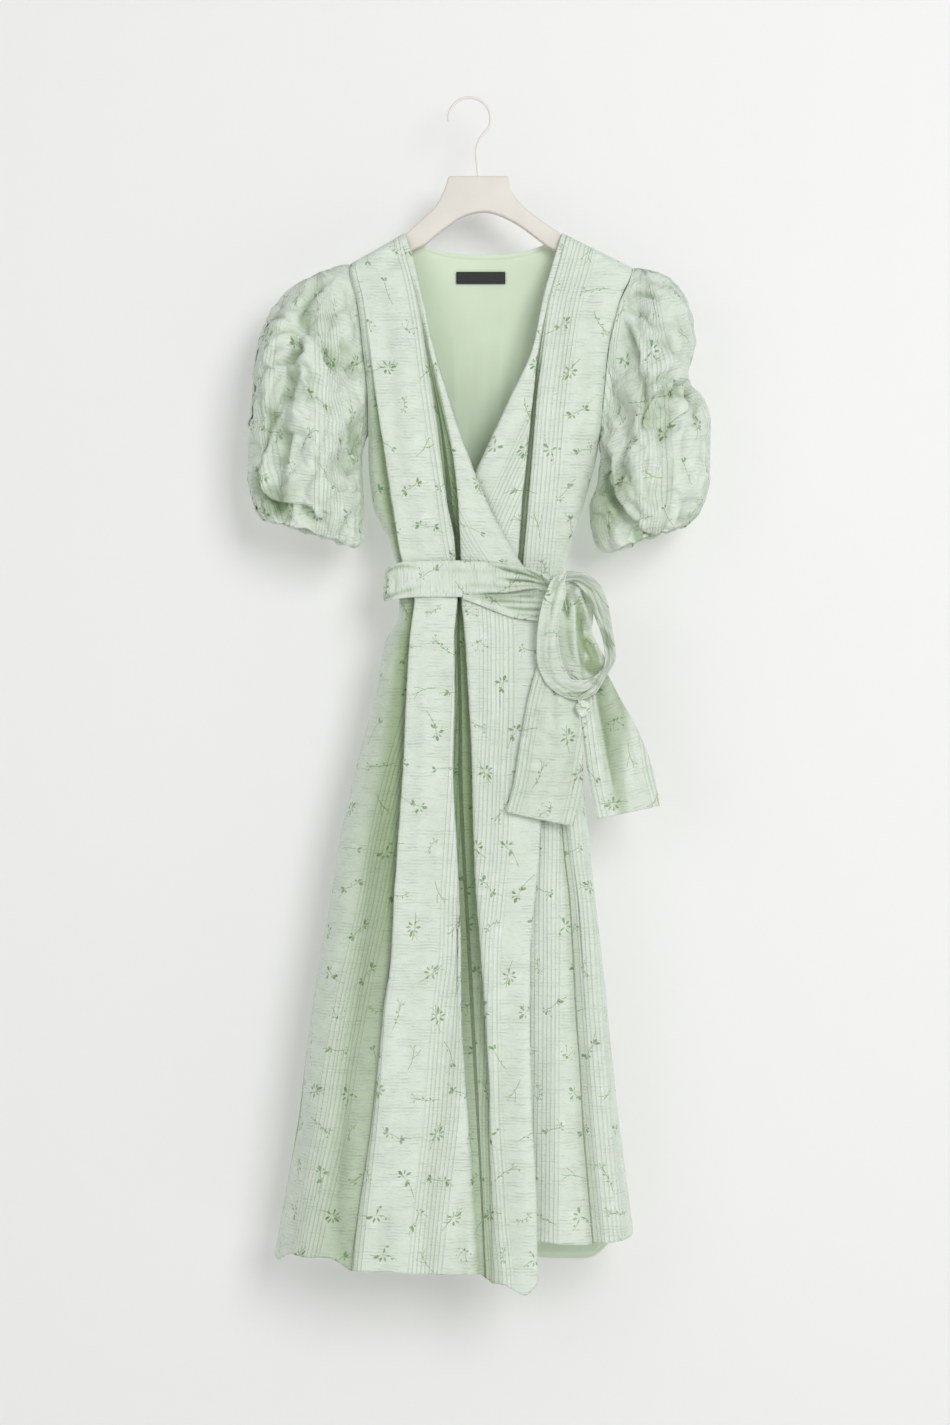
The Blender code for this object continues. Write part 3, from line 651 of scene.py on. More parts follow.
INSIDE_CREASES = """
x0 d0 x1 d1 x2 d2  depth width steep
8  0  19 14 21 30  -4    4.5   0
20 24 21 60 19 104 -3.4  2.2   -0.8
14 0  30 26 38 58  -4.5  2.8   -0.5
6  12 10 24 12 40  3.4   3     0
27 30 29 60 32 94  3     3     0
35 54 38 70 44 90  2.4   3     0
12 52 14 72 14 96  1.2   2     0
"""

TAIL_CREASES = """
x0 d0  x1 d1  x2 d2  depth width
5  8   10 50  16 120 2.4   3.5
10 4   20 46  34 110 2.0   3.5
16 20  24 90  40 170 1.4   5
8  120 20 150 44 168 1.2   5
50 120 58 160 52 230 1.3   6
12 170 14 210 20 250 1.2   6
34 60  36 100 30 140 -1.2  5
"""

REAR_CREASES = """
x0 d0  x1 d1  x2 d2  depth width steep
12 50  23 150 27 262 4.5   4     0.8
9  6   14 50  19 100 2.6   2.5   0
14 4   21 50  35 120 2.6   3     0
39 90  49 160 57 240 1.8   5     0
53 130 63 180 67 240 1.4   5     0
25 170 19 210 17 250 1.2   4     0
6  196 18 192 27 197 1.6   2     0.6
"""

# Where the loop, its inner face and the rear tail lie in shade. The tail's places are across and
# along its own cloth, the others are x and drop.
SHADED_LOOP = """
x   drop wide tall turn share
138 434  5    22   13   0.8
153 462  5    14   28   0.62
117 402  5    5    0    0.4
97  402  3    12   -20  0.4
124 524  16   3.5  0    0.4
140 510  8    4    -30  0.4
"""

SHADED_INSIDE = """
x   drop wide tall turn share
109 426  4    16   10   0.95
109 466  9    30   0    0.3
125 458  4.5  46   4    0.75
137 476  5.5  22   27   0.85
140 494  13   9    -30  0.95
129 436  3    22   16   0.5
118 404  4    6    0    0.3
"""

SHADED_REAR = """
x  drop wide tall turn share
40 100  19   120  -4   0.58
31 225  9    60   -6   0.35
24 30   18   40   0    0.55
"""


def rows_of(text):
    """A table's rows as dictionaries, a name for each column."""
    lines = text.strip().splitlines()
    names = lines[0].split()
    found = []
    for line in lines[1:]:
        values = [v if v.isidentifier() else float(v) for v in line.split()]
        found.append(dict(zip(names, values)))
    return found


def read(rows, key, name, at):
    """The column name where the column key is at, on a curve that never overshoots."""
    spots = np.array([row[key] for row in rows])
    values = np.array([row[name] for row in rows])
    slopes = np.diff(values) / np.diff(spots)
    tangents = np.zeros_like(values)
    tangents[0], tangents[-1] = slopes[0], slopes[-1]
    turning = slopes[:-1] * slopes[1:]
    total = np.where(turning > 0, slopes[:-1] + slopes[1:], 1.0)
    tangents[1:-1] = np.where(turning > 0, 2 * turning / total, 0.0)
    at = np.clip(at, spots[0], spots[-1])
    i = np.clip(np.searchsorted(spots, at, side="right") - 1, 0, len(spots) - 2)
    width = spots[i + 1] - spots[i]
    t = (at - spots[i]) / width
    return (
        mix(values[i], values[i + 1], t * t * (3 - 2 * t))
        + width * tangents[i] * t * (1 - t) ** 2
        - width * tangents[i + 1] * t * t * (1 - t)
    )


def smoothstep(value):
    value = np.clip(value, 0.0, 1.0)
    return value * value * (3 - 2 * value)


def mix(a, b, share):
    return a + (b - a) * share


OVER_ROWS = rows_of(OVER_FRONT)
UNDER_ROWS = rows_of(UNDER_FRONT)
BACK_ROWS = rows_of(BACK)


def body_side_x(side, drop):
    return read(OVER_ROWS if side == "right" else UNDER_ROWS, "drop", "side", drop)


def clear_of_seam(side, drop):
    """Half the gap between front and back at a seam, wider where the armhole begins."""
    away = abs(drop - SHOULDER_TIP[side][1]) / 9
    return SEAM_GAP / 2 + 0.05 + 0.9 * (1 - smoothstep(away))


def armhole_reach(side, drop):
    """How open the armhole is at this drop, from 0 at its two ends to 1 at its widest."""
    top = SHOULDER_TIP[side][1]
    share = np.clip((drop - top) / (UNDERARM[side] - top), 0, 1)
    return np.sqrt(1 - (1 - 2 * share) ** 2)


def shoulder_drop(x):
    """The drop of the shoulder seam at x, on either side of the neck."""
    x = np.asarray(x, dtype=float)
    drop = np.zeros_like(x)
    for side, here in (("right", x < HANGER_X), ("left", x >= HANGER_X)):
        tip_x, tip_drop = SHOULDER_TIP[side]
        share = (x - NECK_POINT[side]) / (tip_x - NECK_POINT[side])
        drop = np.where(here, tip_drop * np.clip(share, 0, 1), drop)
    return drop


def shoulder_round(below):
    """How much of its depth the cloth has reached, this far below a shoulder seam."""
    return np.sqrt(1 - (1 - np.clip(below / 13.0, 0, 1)) ** 2)


def front_lines(rows, hem, columns, skirt, side, down):
    """A front panel's named columns at each share down it: an array of rows, columns and xyz."""
    waist = WAIST_DROP + (SEAM_GAP / 2 if skirt else -SEAM_GAP / 2)

    def line_drop(name):
        if skirt:
            return mix(waist, hem[name], down)
        return mix(shoulder_drop(read(rows, "drop", name, 0.0)), waist, down)

    places = np.empty((len(down), len(columns), 3))
    for k, column in enumerate(columns):
        near, far, share, level = column["near"], column["far"], column["share"], column["level"]
        drop = mix(line_drop(near), line_drop(far), share)
        if skirt and "part" in hem and near == "side" and share > 0.1:
            drop = mix(waist, hem["part"], down)
        if skirt:
            drop = drop + column["hem"] * smoothstep((down - 0.84) / 0.16)
        at = {name: read(rows, "drop", name, drop) for name in rows[0] if name != "drop"}
        tuck = at["tuck0"] if "tuck0" in at and near == "f0" else at.get("tuck1", at.get("tuck"))
        x = mix(at[near], at[far], share) + column["tuck"] * tuck
        band = at["front"]
        if "hidden" in at:
            band = band + at["hidden"] * smoothstep((at["clear"] + 12 - x) / 24)
        if column["fold"] == "side":
            seam = -np.maximum(clear_of_seam(side, drop), ARMHOLE_FRONT * armhole_reach(side, drop))
            y = mix(seam, band + at.get("set", 0.0), level)
        elif column["fold"] == "set":
            y = band + at["set"] * level
        elif column["fold"] == "bow":
            y = band - 1.2
        elif column["fold"] == "free":
            y = band + (4.0 if "set" in at and not skirt else 1.5)
        else:
            y = band + at["recess"] * level
        if not skirt:
            y = y * shoulder_round(drop - shoulder_drop(x) + 0.15)
            y = np.minimum(y, -clear_of_seam(side, drop) if near == "side" else -0.2)
        places[:, k] = np.stack([x, y, SHOULDER_Z - drop], axis=1)
    return places


def between_lines(places, spacing):
    """Fills in columns on smooth curves through the named ones, and gives where each now is."""
    step = np.sqrt(np.linalg.norm(np.diff(places, axis=1), axis=2))[..., None] + 1e-6
    slope = np.diff(places, axis=1) / step
    tangent = np.empty_like(places)
    tangent[:, 0], tangent[:, -1] = slope[:, 0], slope[:, -1]
    tangent[:, 1:-1] = (slope[:, :-1] * step[:, 1:] + slope[:, 1:] * step[:, :-1]) / (
        step[:, :-1] + step[:, 1:]
    )
    spots, parts = [0], []
    for k in range(places.shape[1] - 1):
        count = max(2, round(float((step[:, k] ** 2).mean()) / spacing))
        last = k == places.shape[1] - 2
        t = (np.arange(count + last) / count)[None, :, None]
        begin, end = places[:, k : k + 1], places[:, k + 1 : k + 2]
        d = step[:, k : k + 1]
        parts.append(
            begin * (1 + 2 * t) * (1 - t) ** 2
            + d * tangent[:, k : k + 1] * t * (1 - t) ** 2
            + end * t * t * (3 - 2 * t)
            - d * tangent[:, k + 1 : k + 2] * t * t * (1 - t)
        )
        spots.append(spots[-1] + count)
    return np.concatenate(parts, axis=1), spots


def neck_share(x):
    """0 at either end of the neck opening and 1 across its middle."""
    middle = (NECK_POINT["right"] + NECK_POINT["left"]) / 2
    half = (NECK_POINT["left"] - NECK_POINT["right"]) / 2
    return np.maximum(0.0, 1 - abs((x - middle) / half) ** 2.6)


def back_top(x):
    inside = (NECK_POINT["right"] < x) & (x < NECK_POINT["left"])
    return np.where(inside, NECK_DIP * neck_share(x), shoulder_drop(x))


def back_hem(share):
    """The back's hem drop, which rises quickly to the left side seam."""
    low = mix(BACK_HEM["right"], BACK_HEM["middle"], smoothstep(share / 0.2))
    return mix(low, BACK_HEM["left"], smoothstep((share - 0.87) / 0.13))


def back_places(across, down, skirt):
    """The back, across from 0 at the right side seam to 1 at the left one, and down it."""
    across, down = np.broadcast_arrays(across, down)
    waist = WAIST_DROP + (SEAM_GAP / 2 if skirt else -SEAM_GAP / 2)
    top_x = mix(SHOULDER_TIP["right"][0], SHOULDER_TIP["left"][0], across)
    start = back_top(top_x)
    drop = mix(waist, back_hem(across), down) if skirt else mix(start, waist, down)
    x = mix(body_side_x("right", drop), body_side_x("left", drop), across)
    behind = read(BACK_ROWS, "drop", "behind", drop)
    for fold in rows_of(BACK_FOLDS):
        grown = smoothstep((drop - fold["start"]) / 500)
        behind = behind + fold["depth"] * grown * np.exp(
            -(((across - fold["share"]) / fold["width"]) ** 2)
        )
    seam = np.where(
        across < 0.5,
        np.maximum(clear_of_seam("right", drop), ARMHOLE_BACK * armhole_reach("right", drop)),
        np.maximum(clear_of_seam("left", drop), ARMHOLE_BACK * armhole_reach("left", drop)),
    )
    edge = np.minimum(1.0, np.minimum(across, 1 - across) / 0.16)
    y = mix(seam, behind, np.sqrt(1 - (1 - edge) ** 2))
    if not skirt:
        rounded = shoulder_round(drop - start + 0.15)
        y = y * np.where(down < 0.3, mix(rounded, 1.0, smoothstep(neck_share(top_x) * 50)), 1.0)
        least = np.where(across < 0.5, clear_of_seam("right", drop), clear_of_seam("left", drop))
        y = np.maximum(y, np.where(edge < 0.2, least, 0.2))
    return np.stack([x, y, SHOULDER_Z - drop], axis=-1)


def sleeve_places(side, rows, creases, around, along):
    """A sleeve's surface: around in degrees, 0 outer, 90 front and 180 inner, and along it."""
    around, along = np.broadcast_arrays(around, along)
    angle = np.radians(around)
    sign = -1.0 if side == "right" else 1.0
    at = {name: read(rows, "along", name, along) for name in rows[0] if name != "along"}
    share = (1 - np.cos(angle)) / 2
    x = mix(at["outer_x"], at["inner_x"], share)
    drop = mix(at["outer_drop"], at["inner_drop"], share)
    y = -np.where(np.sin(angle) > 0, at["front"], at["back"]) * np.sin(angle)
    out_x = x - mix(at["outer_x"], at["inner_x"], 0.5)
    length = np.hypot(out_x, y)
    out_x = np.where(length > 1, out_x / np.maximum(length, 1e-9), 0.0)
    out_y = np.where(length > 1, y / np.maximum(length, 1e-9), 0.0)
    push = np.zeros_like(x)
    for row in creases:
        low, high = row["from_along"], row["to_along"]
        spot = (along - low) / (high - low)
        fade = smoothstep(1 + spot * 4) * smoothstep(1 + (1 - spot) * 4)
        fade = np.where((spot < -0.25) | (spot > 1.25), 0.0, fade)
        centre = mix(row["from_round"], row["to_round"], np.clip(spot, 0, 1))
        away = (around - centre + 180) % 360 - 180
        push -= row["depth"] * fade * np.exp(-((away / row["width"]) ** 2))
    gathers = 2.2 * np.exp(-(((along - 0.05) / 0.14) ** 2)) * np.cos(9 * angle)
    hem = 2.6 * np.exp(-(((along - 1.02) / 0.12) ** 2)) * np.cos(11 * angle + math.radians(40))
    push += gathers * smoothstep(along / 0.05) + hem
    arm_drop = mix(SHOULDER_TIP[side][1], UNDERARM[side], share)
    arm_x = body_side_x(side, arm_drop) + sign * (WALL_THICK + 0.25)
    arm_y = -np.where(np.sin(angle) > 0, ARMHOLE_FRONT, ARMHOLE_BACK) * np.sin(angle)
    joined = smoothstep(along / 0.14)
    return np.stack(
        [
            mix(arm_x, x + out_x * push, joined),
            mix(arm_y, y + out_y * push, joined),
            SHOULDER_Z - mix(arm_drop, drop, joined),
        ],
        axis=-1,
    )


def band_places(rows, across, along):
    """A sash band: along it from 0 to 1, across it from its upper edge to its lower one."""
    numbered = [dict(row, number=float(k)) for k, row in enumerate(rows)]
    across, spot = np.broadcast_arrays(across, along * (len(rows) - 1.0))
    at = {name: read(numbered, "number", name, spot) for name in rows[0]}
    return np.stack(
        [at["x"], at["y"], SHOULDER_Z - mix(at["upper"], at["lower"], across)], axis=-1
    )


def ribbon_places(rows, cup, across, along):
    """A ribbon between its two long edges, cupped towards the front by cup."""
    numbered = [dict(row, number=float(k)) for k, row in enumerate(rows)]
    across, spot = np.broadcast_arrays(across, along * (len(rows) - 1.0))
    at = {name: read(numbered, "number", name, spot) for name in rows[0]}
    bulge = cup * np.sin(math.pi * across) * smoothstep(along * 4)
    return np.stack(
        [
            mix(at["left_x"], at["right_x"], across),
            mix(at["left_y"], at["right_y"], across) - bulge,
            SHOULDER_Z - mix(at["left_drop"], at["right_drop"], across),
        ],
        axis=-1,
    )


def outward(grid):
    """Unit normals of a grid whose columns run left to right and rows down, from outside."""
    normal = np.cross(np.gradient(grid, axis=0), np.gradient(grid, axis=1))
    return normal / np.maximum(np.linalg.norm(normal, axis=2, keepdims=True), 1e-9)


def lengths(grid, axis):
    """Lengths along the cloth from its first row or column."""
    steps = np.linalg.norm(np.diff(grid, axis=axis), axis=2)
    return np.insert(np.cumsum(steps, axis=axis), 0, 0.0, axis=axis)


def creased(folds, x, drop):
    """How far the listed creases push the cloth in at each place, and how shaded they leave it.

    A crease is a sharp trough between two low swells. A steep one falls sharply on one side and
    rises slowly on the other, like the edge of a fold that lies over the cloth beside it.
    """
    push, shade = np.zeros_like(x), np.zeros_like(x)
    t = np.linspace(0, 1, 9)
    for row in rows_of(folds):
        line = [
            row[f"{axis}0"] * (1 - t) * (1 - 2 * t)
            + row[f"{axis}1"] * 4 * t * (1 - t)
            + row[f"{axis}2"] * t * (2 * t - 1)
            for axis in "xd"
        ]
        nearest = np.full(x.shape, 1e9)
        place, side = np.zeros_like(x), np.zeros_like(x)
        for k in range(8):
            dx, dd = line[0][k + 1] - line[0][k], line[1][k + 1] - line[1][k]
            share = ((x - line[0][k]) * dx + (drop - line[1][k]) * dd) / (dx * dx + dd * dd)
            share = np.clip(share, 0, 1)
            away = np.hypot(x - line[0][k] - share * dx, drop - line[1][k] - share * dd)
            closer = away < nearest
            nearest = np.where(closer, away, nearest)
            place = np.where(closer, (k + share) / 8, place)
            cross = dx * (drop - line[1][k]) - dd * (x - line[0][k])
            side = np.where(closer, cross / (np.hypot(dx, dd) * row["width"]), side)
        steep = row.get("steep", 0.0)
        width = row["width"] * np.exp(-steep * np.clip(side * 2, -1, 1))
        far = nearest / width
        taper = mix(0.25, 1.0, smoothstep(place / 0.25) * smoothstep((1 - place) / 0.25))
        trough = np.exp(-1.5 * (np.sqrt(far * far + 0.05) - 0.22))
        swell = 0.34 * np.exp(-(((far - 1.9) / 0.8) ** 2))
        push -= row["depth"] * taper * (trough - swell)
        dark = taper * min(1.0, max(row["depth"], 0) / 9) * np.exp(-((far / 0.9) ** 2))
        shade = np.maximum(shade, dark)
    return push, shade


def shaded(patches, x, drop):
    """How much of each place lies in the shade of the folds round it."""
    shade = np.zeros_like(x)
    for row in rows_of(patches):
        turn = math.radians(row["turn"])
        across = (x - row["x"]) * math.cos(turn) - (drop - row["drop"]) * math.sin(turn)
        along = (x - row["x"]) * math.sin(turn) + (drop - row["drop"]) * math.cos(turn)
        away = np.sqrt((across / row["wide"]) ** 2 + (along / row["tall"]) ** 2)
        shade = np.maximum(shade, row["share"] * smoothstep((1.25 - away) / 0.6))
    return shade


def hollows(push, spread=4, deep=2.2):
    """How far each place lies below the cloth round it, from 0 to 1."""
    weights = np.exp(-((np.arange(-2 * spread, 2 * spread + 1) / spread) ** 2))
    weights /= weights.sum()
    around = push
    for axis in (0, 1):
        padding = [(0, 0), (0, 0)]
        padding[axis] = (2 * spread, 2 * spread)
        padded = np.pad(around, padding, mode="edge")
        around = np.apply_along_axis(np.convolve, axis, padded, weights, "valid")
    return np.clip((around - push) / deep, 0, 1)


def uneven(seed, x, y, octaves=3):
    """Smooth noise from about -1 to 1 whose largest waves are 1 long in x and y."""
    total, weight = np.zeros(np.broadcast(x, y).shape), 0.0
    for octave in range(octaves):
        table = np.random.default_rng(seed + octave).uniform(-1, 1, (64, 64))
        far_x, far_y = x * 2**octave, y * 2**octave
        i, j = np.floor(far_x).astype(int), np.floor(far_y).astype(int)
        s, t = smoothstep(far_x - i), smoothstep(far_y - j)
        top = mix(table[i % 64, j % 64], table[(i + 1) % 64, j % 64], s)
        low = mix(table[i % 64, (j + 1) % 64], table[(i + 1) % 64, (j + 1) % 64], s)
        total += mix(top, low, t) * 0.5**octave
        weight += 0.5**octave
    return total / weight * 1.6


# How far each panel's own lines of cloth run: from one named column to another, counted in
# millimetres from an anchor column. The jumps between stretches lie deep in the folds.
OVER_STRETCHES = ((0, 5, 0, 30.0), (6, 15, 8, 300.0), (16, 23, 23, 950.0))
UNDER_STRETCHES = ((0, 7, 0, 1200.0), (8, 16, 11, 1500.0))

CELL = 3.3  # the finest step of the cloth grids
WALL_THICK = 0.9  # the thin shell that stands for shell and lining
LINING_THICK, LABEL_THICK = 0.5, 0.6


def cloth_mesh(name, grid, u, v, fold, crumple, closed=False):
    """A grid of cloth laid on the given places, with its own lines of cloth as its UV map."""
    rows, columns = grid.shape[:2]
    bm = bmesh.new()
    bm.loops.layers.uv.new("UVMap")
    bmesh.ops.create_grid(
        bm, x_segments=columns - 1, y_segments=rows - 1, size=1.0, calc_uvs=True
    )
    mesh = bpy.data.meshes.new(name)
    bm.to_mesh(mesh)
    flat = np.empty(len(mesh.vertices) * 3)
    mesh.vertices.foreach_get("co", flat)
    flat = flat.reshape(-1, 3)
    column = np.rint((flat[:, 0] + 1) / 2 * (columns - 1)).astype(int)
    row = np.rint((1 - flat[:, 1]) / 2 * (rows - 1)).astype(int)
    mesh.vertices.foreach_set("co", (grid[row, column] * MM).ravel())
    corner = np.empty(len(mesh.loops), dtype=int)
    mesh.loops.foreach_get("vertex_index", corner)
    places = np.stack([u[row, column], v[row, column]], axis=1) * MM
    mesh.uv_layers["UVMap"].data.foreach_set("uv", places[corner].ravel())
    # fold carries the share of painted shade at each place, and crumple the strength of the small
    # creases in the relief
    for look, values in (("fold", fold), ("crumple", crumple)):
        kept = mesh.attributes.new(look, "FLOAT", "POINT")
        kept.data.foreach_set("value", np.broadcast_to(values, u.shape)[row, column].ravel())
    if closed:
        bm.clear()
        bm.from_mesh(mesh)
        bmesh.ops.remove_doubles(bm, verts=bm.verts, dist=1e-6)
        bm.to_mesh(mesh)
    bm.free()
    mesh.shade_smooth()
    return mesh


def add_piece(name, mesh, node, finishes):
    """A finished piece that stands for a solid's node."""
    for finish in finishes:
        mesh.materials.append(finish)
    piece = bpy.data.objects.new(name, mesh)
    bpy.context.scene.collection.objects.link(piece)
    if node:
        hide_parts(node)
    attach(piece, "root")
    return piece


def add_cloth(
    name, node, grid, u, v, finishes, thick=WALL_THICK, closed=False,
    fold=0.0, crumple=0.0,
):
    mesh = cloth_mesh(name, grid, u, v, fold, crumple, closed)
    piece = add_piece(name, mesh, node, finishes)
    wall = piece.modifiers.new("Wall", "SOLIDIFY")
    wall.thickness = thick * MM
    wall.offset = 0.0
    wall.material_offset = len(finishes) - 1
    return piece


def anchored(grid, spots, stretches):
    """Each place's distance across the cloth, counted stretch by stretch from its anchor column."""
    run = lengths(grid, 1)
    u = np.empty_like(run)
    for first, last, anchor, value in stretches:
        end = spots[last + 1] if last + 1 < len(spots) else run.shape[1]
        here = slice(spots[first], end)
        u[:, here] = value + run[:, here] - run[:, [spots[anchor]]]
    return u


def even_rows(low, high, spacing):
    return np.linspace(0, 1, max(2, round((high - low) / spacing)) + 1)


def bodice_rows():
    """Rows down a bodice, crowded where the cloth turns over the shoulder."""
    top = np.array([0, 0.0015, 0.003, 0.006, 0.009, 0.012, 0.017, 0.023])
    return np.concatenate([top, np.linspace(0.03, 1, 112)])


def hem_turn(below):
    """A hem's stitched line, 12 mm above its edge, and the slight swell of the turned cloth."""
    return -0.5 * np.exp(-(((below - 12) / 1.2) ** 2)) + 0.35 * smoothstep((12 - below) / 3)


def crinkles(u, v, seed, deep=1.0):
    """The soft relief of crinkled cloth: short waves mostly across, and longer ones down."""
    fine = uneven(seed, u / 16, v / 5.5, 2) * 0.22
    broad = uneven(seed + 9, u / 26, v / 60, 3) * 0.55
    return deep * (fine + broad)


# How much painted shade each named column gets where it lies hidden between layers: its place in
# the table and its share
OVER_HIDDEN = {
    2: 0.15, 3: 0.4, 4: 0.85, 5: 1.0, 6: 0.8, 7: 0.15, 13: 0.1, 14: 0.7, 15: 1.0, 16: 1.0, 17: 1.0,
    18: 0.6, 19: 0.1,
}
UNDER_HIDDEN = {6: 0.1, 7: 0.9, 8: 1.0, 9: 0.8, 10: 0.1}


def hidden_share(spots, columns, hidden):
    named = [hidden.get(k, 0.0) for k in range(len(spots))]
    return np.interp(np.arange(columns), spots, named)[None, :]


def to_shoulder_seam(grid, facing, has_neck):
    """Adds a first row, which brings a bodice's cloth over the hanger's arm to its seam."""
    lead = grid[:1].copy()
    at_neck = smoothstep(neck_share(lead[..., 0]) * 50) if has_neck else 0.0
    lead[..., 1] = mix(facing * 0.3, lead[..., 1], at_neck)
    seam = SHOULDER_Z - shoulder_drop(lead[..., 0]) + 0.05
    lead[..., 2] = mix(seam, lead[..., 2] + 0.8, at_neck)
    return np.concatenate([lead, grid])


def front_panel(part, which, finishes):
    skirt = part == "skirt"
    rows, hem, columns, side, stretches, folds, seed = {
        "over": (
            OVER_ROWS, OVER_HEM, rows_of(OVER_COLUMNS), "right", OVER_STRETCHES,
            OVER_SKIRT_FOLDS if skirt else OVER_BODICE_FOLDS, 11,
        ),
        "under": (
            UNDER_ROWS, UNDER_HEM, rows_of(UNDER_COLUMNS), "left", UNDER_STRETCHES,
            UNDER_SKIRT_FOLDS if skirt else UNDER_BODICE_FOLDS, 31,
        ),
    }[which]
    down = even_rows(WAIST_DROP, 1170, CELL) if skirt else bodice_rows()
    grid, spots = between_lines(front_lines(rows, hem, columns, skirt, side, down), CELL)
    if not skirt:
        grid = to_shoulder_seam(grid, -1, False)
    u = anchored(grid, spots, stretches)
    v = -(SHOULDER_Z - grid[..., 2])
    normal = outward(grid)
    drop = SHOULDER_Z - grid[..., 2]
    facing = smoothstep(-normal[..., 1] * 2)
    below = lengths(grid, 0)[-1] - lengths(grid, 0)
    push, shade = creased(folds, grid[..., 0], drop)
    push, shade = push * facing, shade * facing
    calm = smoothstep((drop - shoulder_drop(grid[..., 0]) - 3) / 25) if not skirt else 1.0
    edge = smoothstep((lengths(grid, 1)) / 14) if which == "over" else 1.0
    push = push * calm + crinkles(u, v, seed + skirt) * calm * mix(0.4, 1.0, edge)
    if skirt:
        grown = smoothstep((drop - 900) / 280)
        push += hem_turn(below) + grown * 1.6 * uneven(seed + 70, u / 46, v / 400, 2)
    # the shade between the layers, fainter where the folds open out below
    fold = hidden_share(spots, grid.shape[1], OVER_HIDDEN if which == "over" else UNDER_HIDDEN)
    deepest = 13 if which == "over" else 8
    depth = read(rows, "drop", "recess", drop[:, grid.shape[1] // 2]) / deepest
    fold = np.maximum(fold * np.clip(1.6 * depth, 0, 1)[:, None], 0.28 * shade)
    opened = mix(1.0, 0.62, smoothstep((drop - 620) / 400))
    fold = np.clip(fold * opened + 0.08 * hollows(push), 0, 1)
    fold *= 0.85 if which == "under" else 1.0
    piece = add_cloth(
        f"{part}_{which}_front_cloth", f"{part}_front_{which}", grid + normal * push[..., None],
        u, v, finishes, fold=fold,
    )


def back_panel(part, finishes, plain):
    skirt = part == "skirt"
    down = even_rows(WAIST_DROP, 1170, 4.4) if skirt else bodice_rows()
    across = np.linspace(0, 1, 104)
    near_ends = np.array([0.002, 0.005, 0.012, 0.02])
    across = np.unique(np.concatenate([across, near_ends, 1 - near_ends]))[::-1]
    grid = back_places(across[None, :], down[:, None], skirt)
    if not skirt:
        grid = to_shoulder_seam(grid, 1, True)
    run = lengths(grid, 1)
    u = 2200.0 + run - run[:, [run.shape[1] // 2]]
    drop = SHOULDER_Z - grid[..., 2]
    normal = outward(grid)
    folds = BACK_SKIRT_FOLDS if skirt else BACK_BODICE_FOLDS
    calm = smoothstep((drop - back_top(grid[..., 0]) - 6) / 25) if not skirt else 1.0
    sides = smoothstep(np.minimum(across, 1 - across) / 0.05)[None, :]
    push, shade = creased(folds, grid[..., 0], drop)
    push = (push + crinkles(u, -drop, 51 + skirt)) * calm * sides
    below = lengths(grid, 0)[-1] - lengths(grid, 0)
    if skirt:
        grown = smoothstep((drop - 900) / 280)
        push += hem_turn(below) + grown * sides * 2.0 * uneven(95, u / 50, drop / 400, 2)
    piece = add_cloth(
        f"{part}_back_cloth", f"{part}_back", grid + normal * push[..., None], u, -drop, finishes,
        fold=0.4 * shade * sides,
    )
    lining(part, skirt, down, plain)


def lining(part, skirt, down, plain):
    """The back's plain lining, just inside it, a little short of its edges."""
    low, high = LINING_FROM[part], LINING_TO[part]
    across = np.linspace(low, high, 90)[::-1]
    if skirt:
        grid = back_places(across[None, :], 0.995 * down[:, None], True)
    else:
        x = mix(SHOULDER_TIP["right"][0], SHOULDER_TIP["left"][0], across)
        top = mix(0.05, 0.012, smoothstep(neck_share(x) * 3))[None, :]
        grid = back_places(across[None, :], mix(top, 1.0, down[:, None]), False)
    grid = grid - outward(grid) * (CLOTH / 2 + LINING / 2 + 0.6)
    run = lengths(grid, 1)
    drop = SHOULDER_Z - grid[..., 2]
    push = 0.9 * uneven(61 + skirt, run / 30, drop / 160, 2) * smoothstep((drop - 50) / 60)
    # soft upright folds of the lining, deeper lower down; a ridge here stands towards the front
    soft = 1.6 * uneven(67, grid[..., 0] / 34 + 3, drop / 500, 2) * smoothstep((drop - 70) / 150)
    laid = creased(BACK_SKIRT_FOLDS if skirt else BACK_BODICE_FOLDS, grid[..., 0], drop)[0]
    grid[..., 1] -= (abs(push) + np.maximum(soft, 0)) * (0.4 if skirt else 1.0)
    grid[..., 1] += np.minimum(laid, 0) - (1.5 if skirt else 0.3) * smoothstep((drop - 60) / 40)
    piece = add_cloth(
        f"{part}_lining_cloth", f"{part}_back_lining", grid, run, -drop, [plain],
        thick=LINING_THICK,
    )


HOLD = 0.10  # how firmly the laid folds are held while the cloth settles
GROW = 0.05  # how much too large the cloth is for its place
SETTLE_FRAMES = 24


def search_tree(places):
    """A tree that finds the nearest of the given places."""
    tree = KDTree(len(places))
    for index, place in enumerate(places):
        tree.insert(place, index)
    tree.balance()
    return tree


